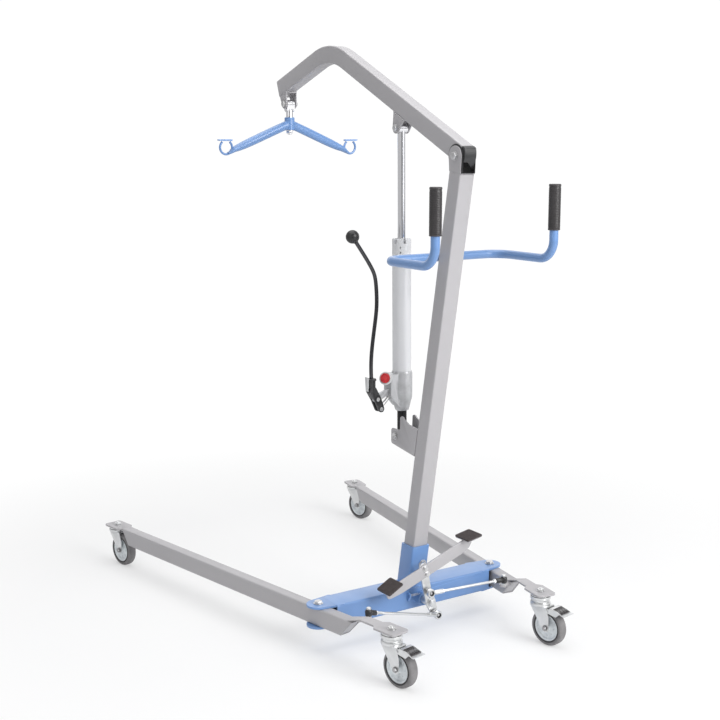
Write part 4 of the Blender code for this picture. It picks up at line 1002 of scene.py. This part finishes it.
def lever():
    rod_x = 0.0985
    cheek = hull([(LEVER_PIVOT.x, LEVER_PIVOT.z, 0.01), (PLUNGE_PIN.x, PLUNGE_PIN.z, 0.0088)])
    socket = make(prism(cheek, LEVER_Y - 0.011, LEVER_Y + 0.011, on_y))
    neck = hull([(LEVER_PIVOT.x, LEVER_PIVOT.z, 0.01), (rod_x, 0.67, 0.0105)])
    join(socket, prism(neck, LEVER_Y - 0.011, LEVER_Y + 0.011, on_y))
    barrel = [(0, 0), (0.0112, 0), (0.0112, 0.03), (0.0118, 0.0312), (0.0132, 0.032), (0.0132, 0.0358),
              (0.0122, 0.037), (0, 0.037)]
    join(socket, turned((rod_x, LEVER_Y, 0.664), (0, 0, 1), barrel, 56))
    slot = hull([(LEVER_PIVOT.x, LEVER_PIVOT.z, 0.0125), (PLUNGE_PIN.x, PLUNGE_PIN.z, 0.0125),
                 (0.04, 0.64, 0.03)])
    cut(socket, prism(slot, LEVER_Y - 0.0056, LEVER_Y + 0.0056, on_y))
    cut(socket, rod((rod_x, LEVER_Y, 0.676), (rod_x, LEVER_Y, 0.72), 0.0055))
    clad(socket, "lever_socket", BLACK, "lever", 0.0012)
    for tag, pin in (("upper", LEVER_PIVOT), ("lower", PLUNGE_PIN)):
        end = [(0.004, 0.0112), (0.0052, 0.0112), (0.0052, 0.0122), (0.0044, 0.013), (0, 0.013)]
        show(turned(pin, (0, 1, 0), flipped(end) + end, 40), "lever_pin_" + tag, ZINC, "lever", bevel=0)
    strap = hull([(0.1115, 0.669, 0.0012), (0.1115, 0.702, 0.0012), (0.1135, 0.705, 0.0012)], 16)
    show(prism(strap, LEVER_Y - 0.006, LEVER_Y + 0.006, on_y), "lever_clip", ZINC, "lever", bevel=0.0004)
    knots = [(rod_x, 0.6785), (rod_x, 0.688), (rod_x, 0.702), (0.1005, 0.746), (0.094, 0.806),
             (0.0825, 0.874), (0.0815, 0.91), (0.085, 0.963), (0.093, 0.985), (0.117, 1.021),
             (0.15, 1.066)]
    path = curve_path([Vector((x, LEVER_Y, z)) for x, z in knots], 10)
    for _ in range(60):
        eased = [(a + b * 2 + c) / 4 for a, b, c in zip(path[18:], path[19:], path[20:])]
        path = path[:19] + eased + path[-1:]
    clad(sweep(path, circle(0.0051, 28), (0, 1, 0)), "lever_rod", DARK, "lever", 0)
    centre = Vector((0.157, LEVER_Y, 1.0755))
    axis = Vector((-0.59, 0, -0.81)).normalized()
    dome = arc(0, 0, 0.0175, -90, 66, 40)
    profile = [(max(0.0, x), y) for x, y in dome] + [(0.0064, 0.0176), (0.006, 0.0186), (0, 0.0186)]
    ball = make(turned(centre, axis, profile, 64))
    cut(ball, rod(centre + axis * 0.004, centre + axis * 0.05, 0.0056))
    clad(ball, "lever_ball", BLACK, "lever", 0)


# ---------------------------------------------------------------- legs and linkage
def leg_shell():
    """Rectangular tube with both ends cut on a slant."""
    mid = (LEG_LOW + LEG_HIGH) / 2
    half = (LEG_HIGH - LEG_LOW) / 2
    faces = []
    for wall, r in ((0, 0.004), (0.003, 0.0015)):
        ring = rounded(LEG_HALF - wall, half - wall, r, 6)
        faces.append([[(u, low + (high - low) * (v + half) / (2 * half), mid + v) for u, v in ring]
                      for low, high in ((-0.879, -0.911), (0.102, 0.148))])
    return shell(*faces)


def mount_plate(swivel, tail, sign, top):
    """Castor plate at a leg's end."""
    w = PLATE_HALF
    end = swivel + sign * 0.034
    start = swivel - sign * 0.036
    r = 0.01
    outline = [(-0.016, tail), (-0.016, start - sign * 0.012), (-w, start)]
    outline += arc(-w + r, end - sign * r, r, 180, 180 - 90 * sign, 6)
    outline += arc(w - r, end - sign * r, r, 90 * sign, 0, 6)
    outline += [(w, start), (0.016, start - sign * 0.012), (0.016, tail)]
    return prism(outline, top - PLATE_T, top, on_z)


def leg(side, tag):
    body = "leg_" + tag
    leg_place = leg_frame(side)
    piece = make(leg_shell())
    join(piece, mount_plate(FRONT_SWIVEL, -0.871, -1, FRONT_TOP))
    join(piece, mount_plate(REAR_SWIVEL, 0.18, 1, REAR_TOP))
    ramp = [(0.118, 0.1187), (0.122, 0.1226), (0.174, 0.1401), (0.186, 0.1401), (0.186, 0.1361),
            (0.175, 0.1361)]
    join(piece, prism(ramp, -0.0155, 0.0155, on_x))
    lug = hull([(BALL.x, BALL.y - 0.004, 0.0105), (-0.015, BALL.y - 0.01, 0.006),
                (-0.015, BALL.y - 0.032, 0.006)])
    join(piece, prism(lug, 0.1165, 0.1215, on_z))
    for along, radius in ((0, 0.0084), (FRONT_SWIVEL, 0.0064), (REAR_SWIVEL, 0.0064)):
        cut(piece, rod((0, along, 0.05), (0, along, 0.16), radius))
    clad(piece, body, GREY, body, 0.0006, leg_place)
    for end, near, slope in (("rear", 0.0985, 0.046 / 0.0478), ("front", -0.8775, -0.032 / 0.0478)):
        low, high = near + slope * 0.0036, near + slope * 0.0442
        points = [(low, 0.0796), (high, 0.1202), (high + 0.002, 0.1202), (low + 0.002, 0.0796)]
        cover = prism(points, -LEG_HALF + 0.0034, LEG_HALF - 0.0034, on_x)
        show(cover, "leg_" + end + "_cover_" + tag, GREY, body, bevel=0.0003, place=leg_place)
    stud = [(0, 0.119), (0.004, 0.119), (0.004, 0.1215), (0.0075, 0.1215, 6), (0.0078, 0.1225, 6),
            (0.0078, 0.127, 6), (0.0044, 0.127), (0.004, 0.128), (0.004, 0.1455), (0.0062, 0.1455),
            (0.0062, 0.149), (0.005, 0.1505), (0, 0.1505)]
    place = leg_place @ Matrix.Translation((BALL.x, BALL.y, 0))
    show(lathe(stud, 36), "tie_stud_" + tag, ZINC, body, bevel=0.0002, place=place)
    lock = Vector((-LEG_HALF, 0.119, 0.105))
    head = [(0, 0), (0.0062, 0), (0.0062, 0.0012), (0.0056, 0.0014, 6), (0.0058, 0.0018, 6),
            (0.0058, 0.005, 6), (0.0044, 0.0056), (0, 0.0056)]
    show(turned(lock, (-1, 0, 0), head, 36), "leg_stop_bolt_" + tag, STEEL, body, bevel=0.0002,
         place=leg_place)


def crank_point(sign):
    """Where a tie rod's eye sits on the crank."""
    p = rocker_frame() @ Vector((0, 0, sign * CRANK_R))
    return Vector((p.x, EYE_Y, p.z))


def tie_rod(side, tag, sign):
    leg_end = leg_frame(side) @ BALL
    crank_end = crank_point(sign)
    run = (crank_end - leg_end).normalized()
    body = "tie_rod_" + tag
    boot = [(0.0045, 0), (0.008, 0), (0.0092, 0.0015), (0.0096, 0.004), (0.0088, 0.0052),
            (0.0095, 0.0066), (0.0095, 0.011), (0.0088, 0.014), (0.0072, 0.0165), (0.0045, 0.0165)]
    ball = make(turned(leg_end - Vector((0, 0, 0.0083)), (0, 0, 1), boot, 48))
    neck = [(0, 0.007), (0.0066, 0.007), (0.007, 0.008), (0.007, 0.024), (0.0064, 0.025), (0, 0.025)]
    join(ball, turned(leg_end, run, neck, 40))
    cut(ball, rod(leg_end - Vector((0, 0, 0.012)), leg_end + Vector((0, 0, 0.012)), 0.0045, 36))
    show(ball, "tie_joint_" + tag, BLACK, body, bevel=0.0004)
    length = (crank_end - leg_end).length
    bar = [(0, 0.0252), (0.0045, 0.0252), (0.0058, 0.0256, 6), (0.0062, 0.0264, 6), (0.0062, 0.031, 6),
           (0.0045, 0.032)]
    bar += [(0.0034, 0.033)] + thread(0.0036, 0.0335, 0.048, 0.0012, 0.0004)
    bar += [(0.0036, 0.049), (0.0036, length - 0.04), (0.0052, length - 0.0392, 6),
            (0.0058, length - 0.0386, 6), (0.0058, length - 0.034, 6), (0.0048, length - 0.0332),
            (0.0062, length - 0.032), (0.0062, length - 0.014), (0.005, length - 0.01),
            (0, length - 0.0098)]
    piece = make(turned(leg_end, run, bar, 40))
    eye = [(0.0072, 0), (0.0102, 0), (0.0112, 0.001), (0.0116, 0.004), (0.0116, 0.007), (0.0112, 0.01),
           (0.0102, 0.011), (0.0072, 0.011)]
    join(piece, turned(crank_end - Vector((0, 0.0055, 0)), (0, 1, 0), eye, 48))
    clad(piece, "tie_rod_" + tag, ZINC, body, 0.0003)
    seal = [(0.0063, 0), (0.0069, 0), (0.00705, 0.0008), (0.00705, 0.0112), (0.0069, 0.012),
            (0.0063, 0.012)]
    ring = turned(crank_end - Vector((0, 0.006, 0)), (0, 1, 0), seal, 48)
    show(ring, "tie_seal_" + tag, BLACK, body, bevel=0)


def rocker():
    place = rocker_frame()
    outline = hull([(0, -CRANK_R, 0.0095), (0, 0, 0.015), (0, CRANK_R, 0.0125)], 64)
    crank = make(prism(outline, CRANK_Y[0], CRANK_Y[1], on_y))
    neck = hull([(0, CRANK_R, 0.0125), (-0.011, 0.106, 0.012)], 64)
    join(crank, prism(neck, CRANK_Y[0] + 0.0001, CRANK_Y[1] - 0.0001, on_y))
    cut(crank, rod((0, 0.05, 0), (0, 0.12, 0), 0.0074))
    cut(crank, rod((0, 0.05, 0.017), (0, 0.12, 0.017), 0.0032, 24))
    clad(crank, "crank_plate", ZINC, "rocker", 0.0005, place=place)
    for sign, tag in ((1, "upper"), (-1, "lower")):
        y0 = CRANK_Y[0] - 0.004
        stud = [(0, 0), (0.0048, 0), (0.0062, 0.0004, 6), (0.0066, 0.001, 6), (0.0066, 0.0036, 6),
                (0.0045, 0.004), (0.004, 0.0042), (0.004, 0.0095), (0.0085, 0.0095), (0.0085, 0.0105),
                (0.004, 0.0107), (0.004, 0.0255), (0.0034, 0.0265), (0, 0.0265)]
        piece = turned((0, y0, sign * CRANK_R), (0, 1, 0), stud, 40)
        show(piece, "crank_stud_" + tag, STEEL, "rocker", bevel=0.0002, place=place)
    pedal(place)


def pedal(place):
    low, top = 0.079, 0.112
    outline = [(-0.172, low + 0.014), (-0.16, low + 0.0045), (-0.138, low), (0.075, low),
               (0.11, low + 0.004)]
    outline += arc(0.113, low + 0.0135, 0.009, -50, 10, 5)
    outline += [(0.122, top - 0.006), (0.082, top), (-0.148, top), (-0.172, top - 0.0042)]
    bar = make(prism(outline, PEDAL_Y[0], PEDAL_Y[1], on_y))
    clad(bar, "pedal_bar", GREY, "rocker", 0.001, place=place)
    for z, tag in ((0.086, "low"), (0.104, "top")):
        head = [(0, -0.0005), (0.0085, -0.0005), (0.0085, 0.0009), (0.0066, 0.0011)]
        head += [(0.0066, 0.0012, 6), (0.007, 0.0018, 6), (0.007, 0.0048, 6), (0.0058, 0.0055), (0, 0.0055)]
        piece = turned((-0.011, PEDAL_Y[1], z), (0, 1, 0), head, 36)
        show(piece, "pedal_bolt_" + tag, STEEL, "rocker", bevel=0.0002, place=place)
    mid = (PEDAL_Y[0] + PEDAL_Y[1]) / 2
    for tag, x, slope in (("px", 0.103, 8.5), ("nx", -0.17, -9.5)):
        tipped = Matrix.Rotation(math.radians(slope), 4, "Y")
        seat = place @ Matrix.Translation((x, mid, top - 0.0015)) @ tipped
        plate = prism(rounded(0.0245, 0.0295, 0.004), 0.0, 0.0022, on_z)
        show(plate, "pad_plate_" + tag, GREY, "rocker", bevel=0.0004, place=seat)
        pad = make(prism(rounded(0.025, 0.03, 0.005), 0.0023, 0.0066, on_z))
        clad(pad, "pedal_pad_" + tag, PAD, "rocker", 0.001, place=seat)
        ribs = make(box(-0.0225, 0.0225, -0.0272, -0.0258, 0.006, 0.0075))
        for k in range(1, 14):
            y = -0.0265 + k * 0.0041
            join(ribs, box(-0.0225, 0.0225, y - 0.0007, y + 0.0007, 0.006, 0.0075))
        show(ribs, "pad_ribs_" + tag, PAD, "rocker", bevel=0.0002, place=seat)


def spring_wire():
    """Thin return spring hooked from the eyelet lug to the axle boss."""
    start = Vector((0.028, 0.0475, 0.1125))
    end = Vector((ROCKER.x + 0.012, 0.056, 0.1165))
    run = end - start
    side = run.cross(Vector((0, 0, 1))).normalized()
    up = side.cross(run).normalized()
    path = [start]
    turns = 9
    for i in range(turns * 14 + 1):
        t = i / (turns * 14)
        a = 2 * math.pi * turns * t
        coil = side * (0.0028 * math.cos(a)) + up * (0.0028 * math.sin(a))
        path.append(start + run * (0.15 + 0.7 * t) + coil)
    path.append(end)
    show(sweep(path, circle(0.0006, 8), (0, 1, 0)), "return_spring", STEEL, "base", bevel=0)


def rocker_axle():
    y0 = 0.032
    boss = 0.0593 - y0
    plate = CRANK_Y[1] + GAP - y0
    profile = [(0, 0), (0.007, 0), (0.007, boss), (0.0108, boss), (0.0115, boss + 0.0008),
               (0.0115, CRANK_Y[0] - GAP - y0), (0.007, CRANK_Y[0] - GAP - y0), (0.007, plate),
               (0.0125, plate), (0.0125, plate + 0.0012)]
    profile += nut(0.0175, plate + 0.0012, plate + 0.0078)
    profile += [(0.0052, plate + 0.0078), (0.0052, plate + 0.0092), (0, plate + 0.0094)]
    clad(turned((ROCKER.x, y0, ROCKER.z), (0, 1, 0), profile, 48), "rocker_axle", ZINC, "base", 0.0003)


# ---------------------------------------------------------------- casters
def kingpin(name, place, top, body):
    """Swivel pin with its race and top nut."""
    under = top - PLATE_T - GAP
    head = top + GAP
    profile = [(0, 0.1045), (0.005, 0.1045), (0.005, under - RACE_T), (0.0236, under - RACE_T),
               (0.0256, under - 0.0046), (0.0262, under - 0.0036), (0.0262, under - 0.001),
               (0.0256, under), (0.006, under), (0.006, head), (0.0108, head), (0.0108, head + 0.0011)]
    profile += nut(0.017, head + 0.0011, head + 0.0062)
    profile += [(0.0042, head + 0.0062), (0.004, head + 0.008), (0, head + 0.0084)]
    clad(lathe(profile, 60), name, ZINC, body, 0.0003, place=place)


def fork(name, place, top, rear, body):
    """Castor fork, its crown and the wheel's axle."""
    crown_top = top - PLATE_T - 3 * GAP - RACE_T
    low = 0.103
    yoke = hull([(-0.017, 0.1035, 0.003), (0.03, 0.1035, 0.003), (TRAIL, WHEEL_R, 0.0105),
                 (0.033, 0.08, 0.008)], 64)
    piece = make(prism(yoke, -FORK_HALF, FORK_HALF, on_x))
    cut(piece, box(-0.015, 0.015, -0.06, 0.09, 0.0, 0.1038))
    waist = []
    if rear:
        waist = [(0.0262, low + 0.0104), (0.024, low + 0.0112), (0.0236, low + 0.0122),
                 (0.0236, low + 0.0165), (0.024, low + 0.0174), (0.0262, low + 0.018),
                 (0.027, low + 0.019)]
    crown = [(0, low), (0.0205, low), (0.024, low + 0.0006), (0.0262, low + 0.0018),
             (0.027, low + 0.0034), (0.027, low + 0.008)] + waist
    crown += [(0.027, crown_top - 0.0012), (0.026, crown_top), (0, crown_top)]
    join(piece, lathe(crown, 64))
    if rear:
        ear = hull([(BRAKE[0], BRAKE[1], 0.005), (0.03, BRAKE[1] - 0.006, 0.005)])
        for sign in (1, -1):
            join(piece, prism(ear, sign * 0.0152, sign * 0.0174, on_x))
            head = [(0, 0), (0.0022, 0), (0.0022, 0.0046), (0.0036, 0.0048), (0.0034, 0.0056), (0, 0.006)]
            join(piece, turned((sign * 0.016, BRAKE[0], BRAKE[1]), (sign, 0, 0), head, 28))
    slot = arc(TRAIL, WHEEL_R, 0.0074, -20, 95, 14) + arc(TRAIL, WHEEL_R, 0.0056, 95, -20, 14)
    for sign in (1, -1):
        cut(piece, prism(slot, sign * 0.014, sign * 0.019, on_x))
    cut(piece, rod((0, 0, 0.09), (0, 0, 0.15), 0.0057))
    clad(piece, name, ZINC, body, 0.0005, place=place)
    washer = FORK_HALF + 0.001
    end = [(0.004, FORK_HALF), (0.0078, FORK_HALF), (0.0078, washer)] + nut(0.012, washer, 0.0238)
    end += [(0.0036, 0.0238), (0.003, 0.0248), (0, 0.025)]
    show(turned((0, TRAIL, WHEEL_R), (1, 0, 0), flipped(end) + end, 48), name + "_axle", AXLE, body,
         bevel=0, place=place)


def wheel(tag, place):
    body = "wheel_" + tag
    seat = place @ Matrix.Translation((0, TRAIL, WHEEL_R)) @ basis((1, 0, 0))
    half = [(0.0043, 0.0142), (0.0098, 0.0142), (0.0108, 0.0132), (0.0114, 0.01), (0.0128, 0.0078),
            (0.015, 0.007), (0.027, 0.0062), (0.03, 0.0068), (0.0318, 0.0092), (0.0328, 0.0112),
            (0.0344, 0.012), (0.0362, 0.012)]
    disc = make(lathe(flipped(half[::-1]) + half[::-1], 96))
    for sign in (1, -1):
        dimple = lambda: rod((0.0212, 0, sign * 0.0052), (0.0212, 0, sign * 0.02), 0.0036, 20)
        cut_round(disc, 8, dimple, 45)
    clad(disc, "wheel_" + tag, DISC, body, 0.0003, place=seat)
    side_ring = [(0.0364, 0.0122), (0.0372, 0.0134), (0.0398, 0.0136), (0.0404, 0.0128)]
    outer = side_ring + [(0.0412, 0.0135)] + arc(0.042, 0.0055, 0.008, 80, 12, 12)
    outer += [(0.05, 0.005), (0.05, 0.002)]
    tyre = lathe(flipped(outer[::-1]) + outer[::-1], 128)
    clad(tyre, "tyre_" + tag, TYRE, body, 0, place=seat)
    for sign, where in ((1, "a"), (-1, "b")):
        ring = [(0.0366, 0.0124), (0.0366, 0.0139), (0.0372, 0.0143), (0.0398, 0.0143), (0.0404, 0.0139),
                (0.0404, 0.0132)]
        bead = lathe([(r, sign * h) for r, h in ring], 96)
        show(bead, "tyre_bead_" + tag + "_" + where, BLACK, body, bevel=0, place=seat)


def brake(tag, place):
    body = "brake_" + tag
    top = [(0.044, 0.106), (0.0445, 0.1085), (0.053, 0.1085), (0.07, 0.105), (0.088, 0.0985),
           (0.093, 0.0992), (0.0935, 0.0965), (0.088, 0.0958), (0.069, 0.1022), (0.052, 0.1058)]
    piece = make(prism(top, -0.02, 0.02, on_x))
    flange = hull([(BRAKE[0], BRAKE[1], 0.0048), (0.05, 0.1045, 0.0025), (0.074, 0.1, 0.002),
                   (0.064, 0.092, 0.003)])
    for sign in (1, -1):
        join(piece, prism(flange, sign * 0.018, sign * 0.0198, on_x))
        cut(piece, rod((sign * 0.016, BRAKE[0], BRAKE[1]), (sign * 0.023, BRAKE[0], BRAKE[1]), 0.0025, 28))
    clad(piece, "brake_pedal_" + tag, ZINC, body, 0.0005, place=place)
    tread = make(box(-0.0172, 0.0172, 0.056, 0.0577, 0.1068, 0.1092))
    for k in range(1, 8):
        y = 0.056 + k * 0.0036
        drop = (y - 0.056) * 0.262
        join(tread, box(-0.0172, 0.0172, y - 0.0001, y + 0.0017, 0.1068 - drop, 0.1092 - drop))
        join(tread, box(-0.0172, 0.0172, y - 0.0022, y + 0.0002, 0.107 - drop, 0.1083 - drop))
    show(tread, "brake_tread_" + tag, RUBBER, body, bevel=0.0002, place=place)


def casters():
    for side, side_tag in SIDES:
        for end, along, top in (("front", FRONT_SWIVEL, FRONT_TOP), ("rear", REAR_SWIVEL, REAR_TOP)):
            tag = end + "_" + side_tag
            place = caster_frame(side, along)
            kingpin("kingpin_" + tag, place, top, "leg_" + side_tag)
            fork("fork_" + tag, place, top, end == "rear", "fork_" + tag)
            wheel(tag, place)
        brake(side_tag, caster_frame(side, REAR_SWIVEL))


# ---------------------------------------------------------------- floor, light, camera
def area(name, at, look, size, power, colour=(1, 1, 1)):
    """Rectangular light aimed at a point."""
    light = bpy.data.lights.new(name, "AREA")
    light.shape = "RECTANGLE"
    light.size, light.size_y = size
    light.energy = power
    light.color = colour
    obj = bpy.data.objects.new(name, light)
    bpy.context.scene.collection.objects.link(obj)
    obj.location = at
    obj.rotation_euler = (Vector(look) - Vector(at)).to_track_quat("-Z", "Y").to_euler()
    return obj


def studio_floor():
    """Pale floor that fades to the background's white away from the object."""
    floor = make(prism(circle(14.0, 96), -0.02, -0.0005, on_z), "studio_floor")
    s = Shader("studio_floor")
    s.set(Base_Color=s.mix(s.span(s.noise(1.5), 0.0, 1.0), (0.9, 0.9, 0.9), (0.92, 0.92, 0.92)),
          Roughness=s.span(s.noise(4.0), 0.75, 0.85), Specular_IOR_Level=0.1)
    reach = s.add("VectorMath", Vector=s.coord)
    reach.operation = "LENGTH"
    fade = s.span(reach.outputs["Value"], FLOOR_LIFT, 1.0, 0.9, 2.0)
    to_camera = wire(s.tree, "Math", fade, s.add("LightPath").outputs["Is Camera Ray"])
    to_camera.operation = "MULTIPLY"
    glow = s.add("Emission", Strength=WHITE_OUT)
    blend = wire(s.tree, "MixShader", to_camera.outputs["Value"], s.bsdf.outputs["BSDF"],
                 glow.outputs["Emission"])
    feed(s.tree, s.tree.nodes["Material Output"], {"Surface": blend.outputs["Shader"]})
    floor.data.materials.append(s.mat)


def studio_world():
    """White to the camera, dim to surfaces, upright grey bands in reflections."""
    world = bpy.data.worlds.new("studio")
    bpy.context.scene.world = world
    world.use_nodes = True
    tree = world.node_tree
    tree.nodes.clear()
    around = wire(tree, "TexGradient", tree.nodes.new("ShaderNodeTexCoord").outputs["Generated"])
    around.gradient_type = "RADIAL"
    ramp = wire(tree, "ValToRGB", around.outputs["Fac"])
    bands = ramp.color_ramp
    while len(bands.elements) > 1:
        bands.elements.remove(bands.elements[0])
    bands.elements[0].position = 0.0
    bands.elements[0].color = (0.62, 0.62, 0.63, 1.0)
    for at, level in MIRROR_BANDS:
        stop = bands.elements.new(at)
        stop.color = (level, level, level * 1.01, 1.0)
    shades = []
    for colour, strength in (((0.97, 0.98, 1.0, 1.0), SKY), (ramp.outputs["Color"], 0.95),
                             ((1.0, 1.0, 1.0, 1.0), WHITE_OUT)):
        node = tree.nodes.new("ShaderNodeBackground")
        feed(tree, node, {"Color": colour, "Strength": strength})
        shades.append(node.outputs["Background"])
    lit, mirror, seen = shades
    path = tree.nodes.new("ShaderNodeLightPath").outputs
    inner = wire(tree, "MixShader", path["Is Glossy Ray"], lit, mirror)
    outer = wire(tree, "MixShader", path["Is Camera Ray"], inner.outputs["Shader"], seen)
    wire(tree, "OutputWorld", outer.outputs["Shader"])


def studio():
    studio_floor()
    studio_world()
    area("key_light", (-1.2, 4.4, 2.6), (0, 0, 0.7), (2.6, 2.6), KEY_POWER)
    area("top_light", (0.2, 0.0, 4.2), (0, 0, 0), (4.0, 4.0), TOP_POWER)
    area("fill_light", (3.4, 1.2, 2.6), (0, 0, 0.8), (2.0, 2.4), FILL_POWER)


def camera():
    data = bpy.data.cameras.new("camera")
    data.lens = 62.83
    data.sensor_width = 36.0
    data.clip_end = 60.0
    obj = bpy.data.objects.new("camera", data)
    bpy.context.scene.collection.objects.link(obj)
    obj.location = Vector((1.908, 2.6609, 1.3197)) + SHIFT
    obj.rotation_euler = (math.radians(80.054), 0.0, math.radians(146.636))
    bpy.context.scene.camera = obj
    bpy.context.scene.view_settings.view_transform = "Standard"


def main():
    base_beam()
    mast()
    mast_head()
    pump_bracket()
    handlebar()
    boom()
    boom_brackets()
    spindle()
    spreader()
    pump()
    release_knob()
    lever()
    for side, tag, sign in ((1, "px", -1), (-1, "nx", 1)):
        leg(side, tag)
        tie_rod(side, tag, sign)
    rocker()
    rocker_axle()
    spring_wire()
    casters()
    studio()
    camera()


main()
